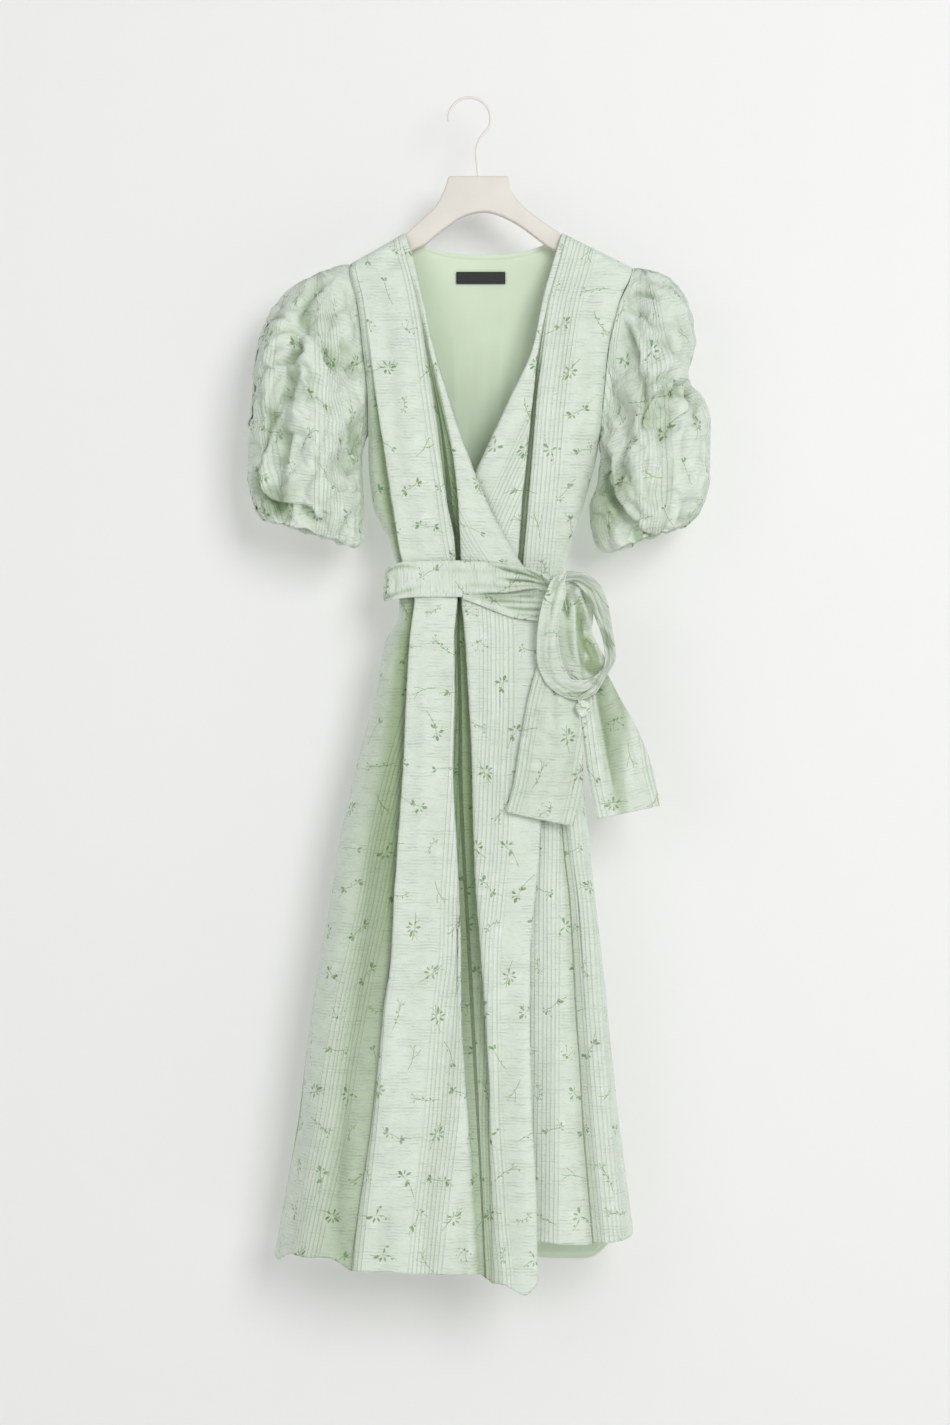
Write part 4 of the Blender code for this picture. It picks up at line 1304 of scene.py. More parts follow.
def settle(piece, grid, hold):
    """Lets cloth that is cut a little too large for its place buckle into its own small folds."""
    scene = bpy.context.scene
    mesh = piece.data
    places = np.empty(len(mesh.vertices) * 3)
    mesh.vertices.foreach_get("co", places)
    near = search_tree(places.reshape(-1, 3))
    group = piece.vertex_groups.new(name="held")
    flat, weights = (grid * MM).reshape(-1, 3), hold.ravel()
    for spot, weight in zip(flat, weights):
        group.add([near.find(spot)[1]], float(weight), "REPLACE")
    wall = piece.modifiers["Wall"]
    wall.show_viewport = False
    cloth = piece.modifiers.new("Settle", "CLOTH")
    look = cloth.settings
    look.quality, look.mass, look.air_damping = 5, 0.2, 2.0
    look.tension_stiffness = look.compression_stiffness = 18.0
    look.shear_stiffness, look.bending_stiffness = 6.0, 1.0
    look.shrink_min = look.shrink_max = -GROW
    look.vertex_group_mass, look.pin_stiffness = "held", 1.0
    look.effector_weights.gravity = 0.0
    cloth.collision_settings.use_collision = False
    cloth.point_cache.frame_start, cloth.point_cache.frame_end = 1, SETTLE_FRAMES
    for frame in range(1, SETTLE_FRAMES + 1):
        scene.frame_set(frame)
    shaped = piece.evaluated_get(bpy.context.evaluated_depsgraph_get()).data
    shaped.vertices.foreach_get("co", places)
    piece.modifiers.remove(cloth)
    piece.vertex_groups.remove(group)
    wall.show_viewport = True
    mesh.vertices.foreach_set("co", places)
    mesh.update()
    scene.frame_set(1)


def sleeve(side, finishes):
    rings = rows_of(SLEEVE_RIGHT if side == "right" else SLEEVE_LEFT)
    creases = rows_of(CREASES_RIGHT if side == "right" else CREASES_LEFT)
    seen = FRONT_CREASES_RIGHT if side == "right" else FRONT_CREASES_LEFT
    seed = 110 if side == "right" else 140
    around = np.linspace(0, 360, 181)
    if side == "left":
        around = around[::-1]
    along = mix(rings[0]["along"], rings[-1]["along"], np.linspace(0, 1, 130))
    along = np.concatenate([[0.0, 0.015, 0.03, 0.045], along])
    rings_at = np.maximum(along, rings[0]["along"])
    grid = sleeve_places(side, rings, creases, around[None, :], along[:, None])
    low = sleeve_places(side, rings, creases, around[None, :], rings_at[:, None])
    joined = smoothstep(along / 0.14)[:, None, None]
    start = sleeve_places(side, rings, creases, around[None, :], np.zeros((1, 1)))
    grid = np.where(along[:, None, None] < 0.06, mix(start, low, joined), grid)
    normal = outward(grid)
    x, drop = grid[..., 0], SHOULDER_Z - grid[..., 2]
    # the cloth hangs with its lines upright, so they run round an upright axis
    sign = -1 if side == "right" else 1
    axis = np.mean([(row["outer_x"] + row["inner_x"]) / 2 for row in rings])
    turn = np.arctan2(1.4 * abs(grid[..., 1]), (x - axis) * sign)
    turn = np.where((around > 180)[None, :], 2 * math.pi - turn, turn)
    u = 3000.0 + seed * 3 + 81.0 * turn * sign
    run = lengths(grid, 0).mean(axis=1)
    v = -mix(drop, run[:, None], 0.3)
    facing = smoothstep(-normal[..., 1] * 2.2 + 0.15)
    held = smoothstep((along - 0.03) / 0.09)[:, None]
    push, shade = creased(seen, x, drop)
    dark = SHADED_RIGHT if side == "right" else SHADED_LEFT
    push = 1.1 * push * facing
    # rucks that run down from the gathered head and up from the elastic, none the same
    head = np.exp(-((along / 0.30) ** 2))[:, None]
    cuff = np.exp(-(((along - 1.06) / 0.20) ** 2))[:, None]
    rucks = uneven(seed, around[None, :] / 9.0, along[:, None] * 3.0, 2)
    push += 2.6 * rucks * (head + 0.8 * cuff)
    # the cloth's own crumpling between them
    crumple = uneven(seed + 5, u / 16, v / 44 + u / 80, 3)
    push += 1.2 * crumple * np.exp(-(((along - 0.5) / 0.6) ** 2))[:, None]
    push += crinkles(u, v, seed + 20, 0.4)
    # painted shade in the creases and the listed shaded patches where the cloth faces the front,
    # and in the hollows
    fold = np.clip(0.32 * shade + 0.72 * shaded(dark, x, drop), 0, 0.8) * facing
    fold = np.clip(fold + 0.16 * hollows(push, 4, 3.0), 0, 1) * held
    across = np.cos(np.radians(around))[None, :]
    grid = grid + normal * (push * held * mix(1.0, 0.6, across**6))[..., None]
    piece = add_cloth(
        f"sleeve_{side}_cloth", f"sleeve_{side}", grid, u, v, finishes, closed=True, fold=fold,
        crumple=0.06,
    )
    ends = np.minimum(along - 0.04, 1.04 - along)[:, None] < 0.02
    hold = np.where(ends, 1.0, HOLD + 0.3 * smoothstep(1 - 3 * abs(normal[..., 1])))
    settle(piece, grid, np.broadcast_to(hold, x.shape))


# Where the sash pieces' cloth starts, so that the groups of upright lines fall where they show
PLAIN_PART = {
    "sash_front": 4000, "sash_lower": 4880, "sash_back": 5760, "bow_loop": 7960,
    "bow_loop_inside": 8840, "tail_front": 5302, "tail_rear": 6622,
}


def sash_pieces(finishes):
    for name, table, across, along, folds, flip in (
        ("sash_front", SASH_FRONT, 34, 150, SASH_FRONT_CREASES, False),
        ("sash_lower", SASH_LOWER, 24, 80, SASH_LOWER_CREASES, False),
        ("sash_back", SASH_BACK, 22, 120, "", True),
    ):
        rows = rows_of(table)
        share = np.linspace(0, 1, along)
        grid = band_places(
            rows, np.linspace(0, 1, across)[:, None], (share[::-1] if flip else share)[None, :]
        )
        u, v = lengths(grid, 0), lengths(grid, 1)
        normal = outward(grid)
        seed = 200 + len(name)
        push = crinkles(u, v, seed, 0.8) + 0.9 * uneven(seed + 4, v / 36, u / 14, 3)
        shade = 0.0
        if folds:
            laid, shade = creased(folds, v, u)
            push += laid
        rim = np.minimum(u, u[-1] - u)
        push += 0.9 * smoothstep(rim / 3.0) - 0.5
        if name == "sash_front":
            # the folds run together into the knot and leave a hollow there, with painted shade in
            # it
            shade = np.maximum(shade, np.exp(-(((v - 205) / 9) ** 2) - (((u - 11) / 4) ** 2)))
        if name == "sash_lower":
            # painted shadow just under the front band's lower edge
            shade = np.maximum(shade, 0.7 * np.exp(-(((u - 2.5) / 2.5) ** 2)) * smoothstep(v / 30))
            push += 1.1 * np.sin(u / 2.4 + v / 22) * smoothstep(rim / 4)
        # painted shade: a little everywhere, more in the creases, by the knot, under the front band
        # and in the hollows
        piece = add_cloth(
            f"{name}_cloth", name, grid + normal * push[..., None],
            PLAIN_PART[name] + u, v, finishes,
            fold=np.clip(0.06 + 0.9 * shade + 0.3 * hollows(push), 0, 1), crumple=0.3,
        )
    for name, table, cup, across, along, folds in (
        ("bow_loop", LOOP, 2.5, 26, 210, LOOP_CREASES),
        ("bow_loop_inside", LOOP_INSIDE, -1.5, 28, 60, INSIDE_CREASES),
        ("tail_front", TAIL_FRONT, 1.5, 38, 150, TAIL_CREASES),
        ("tail_rear", TAIL_REAR, 1.5, 38, 150, REAR_CREASES),
    ):
        rows = rows_of(table)
        grid = ribbon_places(
            rows, cup, np.linspace(0, 1, across)[None, :], np.linspace(0, 1, along)[:, None]
        )
        u, v = lengths(grid, 1), lengths(grid, 0)
        normal = outward(grid)
        seed = 240 + len(name)
        # painted shade: an even share over the front tail and a smaller one over the loop and its
        # inner face, the listed shaded patches on those and on the rear tail, and more in the
        # creases and hollows
        dark = 0.16
        if name.startswith("bow_loop"):
            patches = SHADED_INSIDE if name == "bow_loop_inside" else SHADED_LOOP
            dark = 0.06 + 0.94 * shaded(patches, grid[..., 0], SHOULDER_Z - grid[..., 2])
        elif name == "tail_rear":
            dark = shaded(SHADED_REAR, u, v)
        push = crinkles(u, v, seed, 0.9) + 0.8 * uneven(seed + 4, u / 16, v / 50, 3)
        laid, shade = creased(folds, u, v)
        push += laid
        if name == "bow_loop":
            push += 1.4 * np.exp(-(((np.minimum(u, u[:, -1:] - u) - 0.6) / 1.1) ** 2))
        piece = add_cloth(
            f"{name}_cloth", name, grid + normal * push[..., None],
            PLAIN_PART[name] + u, -v, finishes,
            fold=np.clip(dark + 0.5 * shade + 0.2 * hollows(push), 0, 1),
            crumple=0.2 if name.startswith("tail") else 0.3,
        )


def knot(name, node, size, seed, finish):
    """A tight knot: a rounded lump with turns of cloth drawn round it."""
    bm = bmesh.new()
    bm.loops.layers.uv.new("UVMap")
    bmesh.ops.create_uvsphere(bm, u_segments=72, v_segments=48, radius=1.0, calc_uvs=True)
    x, drop, y = size["centre"]
    half_x, half_drop, half_y = size["half"]
    for vert in bm.verts:
        turn = math.atan2(vert.co.z, vert.co.x)
        swell = 1 - 0.05 * (1 + math.cos(5 * turn)) * (1 - abs(vert.co.y))
        wave = 0.045 * math.sin(9 * vert.co.x + 5 * vert.co.z + seed) * (1 - vert.co.z**2)
        swell += wave + 0.03 * math.sin(17 * vert.co.x - 8 * vert.co.y + seed)
        vert.co = MM * Vector(
            (
                x + half_x * swell * vert.co.x,
                y + half_y * swell * vert.co.y,
                SHOULDER_Z - drop + half_drop * swell * vert.co.z,
            )
        )
    for face in bm.faces:
        for loop in face.loops:
            loop[bm.loops.layers.uv["UVMap"]].uv = (6.0 + loop.vert.co.x, loop.vert.co.z)
    mesh = bpy.data.meshes.new(name)
    bm.to_mesh(mesh)
    bm.free()
    mesh.shade_smooth()
    return add_piece(name, mesh, node, [finish])


def neck_label(finish):
    across, down = np.meshgrid(np.linspace(0, 1, 40), np.linspace(0, 1, 14))
    x = mix(LABEL["from_x"], LABEL["to_x"], across)
    drop = mix(LABEL["upper"], LABEL["lower"], down)
    width = SHOULDER_TIP["left"][0] - SHOULDER_TIP["right"][0]
    share = (x - SHOULDER_TIP["right"][0]) / width
    start = back_top(x)
    behind = back_places(share, (drop - start) / (WAIST_DROP - start), False)
    y = behind[..., 1] - (CLOTH / 2 + LINING + 2.5)
    y -= 0.5 * np.sin(math.pi * across) * np.sin(math.pi * down)
    grid = np.stack([x, y, SHOULDER_Z - drop], axis=-1)
    u, v = lengths(grid, 1), lengths(grid, 0)
    piece = add_cloth(
        "neck_label_cloth", "label", grid, u, -v, [finish], thick=LABEL_THICK
    )


def arm_top(x):
    """The upper edge of an arm, just under the cloth where the shoulder seam lies on it."""
    return float(SHOULDER_Z - shoulder_drop(x) - CLOTH / 2 - ARM_GAP)


def hanger_outline():
    """The hanger's front outline, clockwise from the block's upper left corner."""
    arms = []
    for sign, side in ((1, "left"), (-1, "right")):
        end = HANGER_X + sign * HANGER_REACH
        neck = NECK_POINT[side]
        low = arm_top(end)
        arms.append(
            [
                (neck, arm_top(neck)),
                (end - sign * 8, arm_top(end - sign * 8)),
                (end - sign * 2, low - 3),
                (end, low - 8),
                (end - sign * 3, low - 13),
                (end - sign * 16, arm_top(end - sign * 16) - ARM_DEEP),
                (neck, arm_top(neck) - ARM_DEEP - 2),
            ]
        )
    rim = smooth_route([(row["x"], row["z"]) for row in rows_of(HANGER_RIM)[:5]], 3)
    arch = smooth_route([(row["x"], row["z"]) for row in rows_of(HANGER_ARCH)], 3)
    far = smooth_route([(row["x"], row["z"]) for row in rows_of(HANGER_RIM)[5:]], 3)
    return rim + arms[0] + arch + arms[1][::-1] + far


def smooth_route(points, parts):
    """More points on a smooth curve through the given ones."""
    places = np.array([(x, 0.0, z) for x, z in points])[None]
    mean_step = float(np.linalg.norm(np.diff(places[0], axis=0), axis=1).mean())
    filled, _ = between_lines(places, mean_step / parts)
    return [(float(x), float(z)) for x, _, z in filled[0]]


def hanger_piece(finish):
    bm = bmesh.new()
    front = [bm.verts.new((x * MM, -HANGER_THICK / 2 * MM, z * MM)) for x, z in hanger_outline()]
    face = bm.faces.new(front)
    grown = bmesh.ops.extrude_face_region(bm, geom=[face])
    moved = [part for part in grown["geom"] if isinstance(part, bmesh.types.BMVert)]
    bmesh.ops.translate(bm, verts=moved, vec=(0, HANGER_THICK * MM, 0))
    bmesh.ops.recalc_face_normals(bm, faces=bm.faces)
    rims = [edge for edge in bm.edges if edge.calc_face_angle(0.0) > math.radians(60)]
    bmesh.ops.bevel(
        bm, geom=rims, offset=2.4 * MM, offset_type="OFFSET", segments=5, profile=0.5,
        affect="EDGES", material=-1, clamp_overlap=True,
    )
    mesh = bpy.data.meshes.new("hanger_moulding")
    bm.to_mesh(mesh)
    bm.free()
    mesh.shade_smooth()
    return add_piece("hanger_moulding", mesh, "hanger", [finish])


def hook_piece(finish):
    centre_z = HOOK_WIRE / 2 - HOOK_RADIUS
    route = [(row["x"], row["z"]) for row in rows_of(HOOK_STEM)]
    for step in range(HOOK_STEPS):
        angle = math.radians(HOOK_FROM + step * HOOK_STEP)
        route.append(
            (HOOK_X + HOOK_RADIUS * math.cos(angle), centre_z + HOOK_RADIUS * math.sin(angle))
        )
    curve = bpy.data.curves.new("hook_wire", "CURVE")
    curve.dimensions = "3D"
    curve.bevel_depth = HOOK_WIRE / 2 * MM
    curve.bevel_resolution = 6
    curve.use_fill_caps = True
    route = smooth_route(route, 3)
    spline = curve.splines.new("POLY")
    spline.points.add(len(route) - 1)
    for point, (x, z) in zip(spline.points, route):
        point.co = (x * MM, 0.0, z * MM, 1.0)
    drawn = bpy.data.objects.new("hook_route", curve)
    bpy.context.scene.collection.objects.link(drawn)
    mesh = bpy.data.meshes.new_from_object(
        drawn.evaluated_get(bpy.context.evaluated_depsgraph_get())
    )
    bpy.data.objects.remove(drawn, do_unlink=True)
    mesh.shade_smooth()
    return add_piece("hook_wire", mesh, "hanger_hook", [finish])


def linear(red, green, blue):
    """A colour given as screen values from 0 to 255, as the shaders take it."""
    parts = [c / 255 for c in (red, green, blue)]
    parts = [c / 12.92 if c <= 0.04045 else ((c + 0.055) / 1.055) ** 2.4 for c in parts]
    return (*parts, 1.0)


class Nodes:
    """A short way to wire up one node tree."""

    def __init__(self, tree):
        self.tree = tree

    def add(self, kind, inputs=(), **settings):
        node = self.tree.nodes.new("ShaderNode" + kind)
        for name, value in settings.items():
            setattr(node, name, value)
        pairs = inputs.items() if isinstance(inputs, dict) else enumerate(inputs)
        for name, value in pairs:
            self.feed(node.inputs[name], value)
        return node

    def feed(self, socket, value):
        """Gives a socket a value, or wires another node's output to it."""
        if isinstance(value, bpy.types.NodeSocket):
            self.tree.links.new(value, socket)
        else:
            socket.default_value = value

    def math(self, operation, *values, clamp=False):
        return self.add("Math", values, operation=operation, use_clamp=clamp).outputs[0]

    def vector(self, operation, *values):
        node = self.add("VectorMath", values, operation=operation)
        return node.outputs["Value" if operation in ("LENGTH", "DISTANCE", "DOT_PRODUCT") else 0]

    def ramp(self, value, low, high, start=0.0, end=1.0):
        limits = {"From Min": low, "From Max": high, "To Min": start, "To Max": end}
        return self.add(
            "MapRange", {"Value": value, **limits}, interpolation_type="SMOOTHSTEP"
        ).outputs[0]

    def mix(self, share, first, second, blend="MIX"):
        node = self.add("Mix", data_type="RGBA", blend_type=blend)
        for socket, value in ((0, share), (6, first), (7, second)):
            self.feed(node.inputs[socket], value)
        return node.outputs[2]

    def noise(self, vector, scale, detail=2.0, roughness=0.5, output=0):
        return self.add(
            "TexNoise", {"Vector": vector, "Scale": scale, "Detail": detail, "Roughness": roughness}
        ).outputs[output]

    def place(self, group, **inputs):
        node = self.tree.nodes.new("ShaderNodeGroup")
        node.node_tree = group
        for name, value in inputs.items():
            self.feed(node.inputs[name], value)
        return node.outputs


def group(name, inputs, outputs):
    """A shader node group with the given sockets: its tree, its inputs and where its outputs go."""
    tree = bpy.data.node_groups.new(name, "ShaderNodeTree")
    for socket, kind in inputs:
        tree.interface.new_socket(name=socket, in_out="INPUT", socket_type=f"NodeSocket{kind}")
    for socket, kind in outputs:
        tree.interface.new_socket(name=socket, in_out="OUTPUT", socket_type=f"NodeSocket{kind}")
    nodes = Nodes(tree)
    return nodes, tree.nodes.new("NodeGroupInput").outputs, tree.nodes.new("NodeGroupOutput").inputs


def finish_group(nodes, goes_to, **values):
    for name, value in values.items():
        nodes.tree.links.new(value, goes_to[name])
    return nodes.tree


# A motif's numbers are kept from 0 to 1 as shares of these, in millimetres
MOTIF_SPAN = 40.0  # the square that its places lie in
LEAF_LONG, LEAF_WIDE = 20.0, 4.0
STEM_LONG, STEM_BEND = 40.0, 6.0


def placed(nodes, place, vector):
    """A place in the frame of one leaf or stem, whose own is kept as x, y and turn, from 0 to 1."""
    half = MOTIF_SPAN / 2
    place = nodes.vector(
        "MULTIPLY_ADD", place, (MOTIF_SPAN, MOTIF_SPAN, 2 * math.pi), (-half, -half, 0.0)
    )
    turn = nodes.add("SeparateXYZ", [place]).outputs["Z"]
    moved = nodes.vector("MULTIPLY", nodes.vector("SUBTRACT", vector, place), (1.0, 1.0, 0.0))
    turned = nodes.add(
        "VectorRotate", {"Vector": moved, "Angle": turn}, rotation_type="Z_AXIS", invert=True
    ).outputs[0]
    return nodes.add("SeparateXYZ", [turned]).outputs


def leaf_group():
    """One pointed leaf from its base, and how dark it is printed."""
    nodes, given, out = group(
        "pointed_leaf",
        [("Vector", "Vector"), ("Place", "Vector"), ("Long", "Float"), ("Shape", "Vector")],
        [("Mask", "Float")],
    )
    parts = placed(nodes, given["Place"], given["Vector"])
    shape = nodes.add("SeparateXYZ", [given["Shape"]]).outputs
    along = nodes.math("DIVIDE", parts["X"], nodes.math("MULTIPLY", given["Long"], LEAF_LONG))
    wide = nodes.math("MULTIPLY", shape["X"], LEAF_WIDE)
    # narrow at its base, fullest past its middle, pointed at its tip
    body = nodes.math("MULTIPLY", along, 4.0)
    body = nodes.math("MULTIPLY", body, nodes.math("SUBTRACT", 1.0, along))
    lean = nodes.math("MAXIMUM", nodes.math("MULTIPLY_ADD", along, 0.5, 0.75), 0.3)
    half = nodes.math("MULTIPLY", nodes.math("MULTIPLY", body, lean), wide)
    rest = nodes.math("SUBTRACT", half, nodes.math("ABSOLUTE", parts["Y"]))
    mask = nodes.math("MULTIPLY", rest, 3.0, clamp=True)
    return finish_group(nodes, out, Mask=nodes.math("MULTIPLY", mask, shape["Y"]))


def stem_group():
    """One thin stem from its foot: its length, how far it bends, and its width."""
    nodes, given, out = group(
        "thin_stem",
        [("Vector", "Vector"), ("Place", "Vector"), ("Long", "Float"), ("Shape", "Vector")],
        [("Mask", "Float")],
    )
    parts = placed(nodes, given["Place"], given["Vector"])
    shape = nodes.add("SeparateXYZ", [given["Shape"]]).outputs
    long = nodes.math("MULTIPLY", given["Long"], STEM_LONG)
    share = nodes.math("DIVIDE", parts["X"], long, clamp=True)
    bend = nodes.math("MULTIPLY_ADD", shape["Y"], STEM_BEND, -STEM_BEND / 2)
    curve = nodes.math("MULTIPLY", nodes.math("SINE", nodes.math("MULTIPLY", share, 3.9)), bend)
    away = nodes.math("ABSOLUTE", nodes.math("SUBTRACT", parts["Y"], curve))
    line = nodes.ramp(nodes.math("DIVIDE", away, shape["X"]), 1.5, 0.5)
    starts = nodes.ramp(parts["X"], -0.3, 0.6)
    ends = nodes.ramp(nodes.math("SUBTRACT", long, parts["X"]), -0.5, 1.5)
    whole = nodes.math("MULTIPLY", nodes.math("MULTIPLY", line, starts), ends)
    return finish_group(nodes, out, Mask=whole)


# The printed motifs, in millimetres about each one's middle, kind by kind: a sprig with a long
# leaf, an open sprig, a double one, a pair over buds, a long twig, bare twigs, a pale sprig, buds,
# two leaves on a stem, and a full sprig. A leaf has its base, the degrees it points, its length,
# its half width and how dark it is.
MOTIF_LEAVES = """
kind x    y    turn long wide dark
0    2.0  1.0  40   9.0  1.6  0.95
0    3.0  -0.5 8    5.5  1.2  0.8
0    0.0  3.0  98   5.0  1.1  0.8
0    -1.5 1.0  152  7.0  1.4  0.9
0    -2.5 -2.0 208  6.0  1.2  0.8
0    -0.5 -2.5 280  6.0  1.5  1.0
0    1.5  -2.0 322  6.5  1.2  0.85
1    4.0  3.0  12   6.5  1.7  0.9
1    4.0  3.2  58   5.5  1.6  0.85
1    3.5  3.0  108  3.5  1.0  0.7
1    -2.0 1.0  128  7.0  1.5  0.95
1    -1.5 -2.0 228  8.0  1.8  1.0
1    -0.5 -3.0 280  4.5  1.1  0.8
1    -3.0 -0.5 185  5.0  1.1  0.8
2    6.0  6.0  52   6.0  1.7  1.0
2    6.5  5.5  5    6.5  1.6  0.95
2    5.5  6.5  128  4.0  1.2  0.9
2    -5.5 -5.0 172  7.0  1.8  1.0
2    -5.0 -5.5 236  5.0  1.5  0.85
2    -4.5 -5.0 325  4.5  1.3  0.9
2    0.5  0.0  290  3.0  1.0  0.7
3    -3.0 8.0  75   7.5  1.6  0.95
3    -3.0 7.5  130  5.0  1.3  0.85
3    -2.5 7.0  30   4.0  1.0  0.8
3    2.5  -7.0 350  5.5  1.4  0.9
3    2.0  -8.0 300  3.0  1.2  0.75
3    0.5  -7.5 215  3.5  1.1  0.7
3    4.0  -4.0 60   2.2  1.0  0.7
4    -13  0.5  35   3.8  0.9  0.8
4    -9.0 0.8  325  3.6  0.9  0.85
4    -5.0 1.0  40   3.6  0.9  0.8
4    -1.0 1.0  322  3.8  1.0  0.9
4    3.0  0.6  30   3.6  0.9  0.8
4    9.0  4.0  60   2.4  1.1  0.75
4    12   -3.0 340  2.2  1.1  0.7
5    9.0  6.5  40   2.4  0.8  0.6
6    -6.0 -1.0 170  4.0  1.0  0.6
6    -3.0 1.0  120  4.2  1.0  0.7
6    1.0  3.0  100  4.0  0.9  0.65
6    4.0  3.0  20   4.5  1.1  0.7
6    -4.0 -2.0 250  3.2  1.0  0.6
7    7.0  4.0  40   2.4  1.2  0.75
7    2.0  7.0  90   2.2  1.1  0.75
7    -5.0 6.0  130  2.4  1.1  0.7
7    -7.0 0.0  180  2.2  1.1  0.75
7    6.0  -3.0 340  2.2  1.1  0.7
7    -1.0 -1.0 240  4.5  1.3  0.9
7    1.0  -2.0 300  4.0  1.1  0.85
8    7.0  4.0  60   6.0  1.5  0.9
8    7.0  3.5  5    5.5  1.3  0.85
8    -5.0 -3.5 230  3.0  1.0  0.7
9    -2.0 -3.0 255  8.0  1.8  1.0
9    0.0  -2.0 310  6.5  1.4  0.9
9    1.5  0.0  355  6.0  1.4  0.85
9    1.0  2.5  48   5.0  1.1  0.85
9    -2.0 1.5  140  5.5  1.3  0.9
9    -6.0 7.0  100  3.5  1.5  0.8
9    7.0  6.0  20   3.0  1.2  0.8
"""

# A stem has its foot, the degrees it starts at, its length, bend and half width.
MOTIF_STEMS = """
kind x    y    turn long bend wide
0    -12  -13  50   32   1.0  0.34
0    1.0  1.0  76   13   -0.8 0.28
0    -2.0 -2.0 188  10   0.6  0.24
1    -1.5 -2.0 38   30   1.6  0.34
1    -2.0 1.0  100  8    0.4  0.26
2    -5.0 -5.0 45   16   0.8  0.36
2    6.0  6.0  68   13   0.6  0.28
2    -6.0 -5.0 200  10   0.6  0.26
3    -3.0 8.0  288  17   1.2  0.36
3    -3.0 8.0  100  13   0.6  0.28
3    1.0  -5.0 10   12   -1.0 0.26
4    -19  -0.5 4    34   1.2  0.32
4    2.0  1.0  22   13   -1.0 0.26
4    5.0  0.5  342  11   0.8  0.26
5    -14  -7.0 30   28   1.4  0.38
5    -3.0 -1.0 64   15   1.0  0.3
5    2.0  3.0  352  11   0.8  0.28
6    -8.0 -6.0 42   20   2.0  0.34
6    2.0  3.0  60   8    -0.6 0.26
7    0.0  -4.0 50   13   1.0  0.28
7    0.0  -4.0 108  12   1.0  0.28
7    0.0  -4.0 168  9    -1.0 0.26
8    -15  -11  38   27   1.2  0.34
9    -1.0 0.0  128  12   0.8  0.28
9    0.0  1.0  40   16   1.0  0.3
9    -2.0 -3.0 232  12   0.6  0.26
"""

KINDS = 10


def by_kind(nodes, kind, rows):
    """Four numbers from 0 to 1, looked up by the kind of motif."""
    ramp = nodes.add("ValToRGB", [kind])
    band = ramp.color_ramp
    band.interpolation = "CONSTANT"
    band.elements.remove(band.elements[1])
    band.elements[0].position = 0.0
    band.elements[0].color = rows[0]
    for k, row in enumerate(rows[1:], 1):
        band.elements.new(k / len(rows)).color = row
    return ramp.outputs


NO_PLACE, NO_LOOK = (0.0, 0.0, 0.0, 0.01), (0.001, 0.0, 0.0, 1.0)  # of a leaf or stem not there


def motif_masks(nodes, vector, kind, table, one, long, shape):
    """The mask of every leaf or stem that a motif may have: shape gives a row's own two numbers."""
    kinds = [[row for row in rows_of(table) if row["kind"] == k] for k in range(KINDS)]

    def kept_place(row):
        x, y = row["x"] / MOTIF_SPAN + 0.5, row["y"] / MOTIF_SPAN + 0.5
        return (x, y, row["turn"] / 360, row["long"] / long)

    mask = 0.0
    for slot in range(max(len(rows) for rows in kinds)):
        rows = [rows[slot] if slot < len(rows) else None for rows in kinds]
        place = by_kind(nodes, kind, [kept_place(row) if row else NO_PLACE for row in rows])
        look = by_kind(nodes, kind, [(*shape(row), 0.0, 1.0) if row else NO_LOOK for row in rows])
        found = nodes.place(
            one, Vector=vector, Place=place["Color"], Long=place["Alpha"], Shape=look["Color"]
        )["Mask"]
        mask = nodes.math("MAXIMUM", mask, found)
    return mask


PRINT_CELL = 45.0  # the spacing of the printed motifs


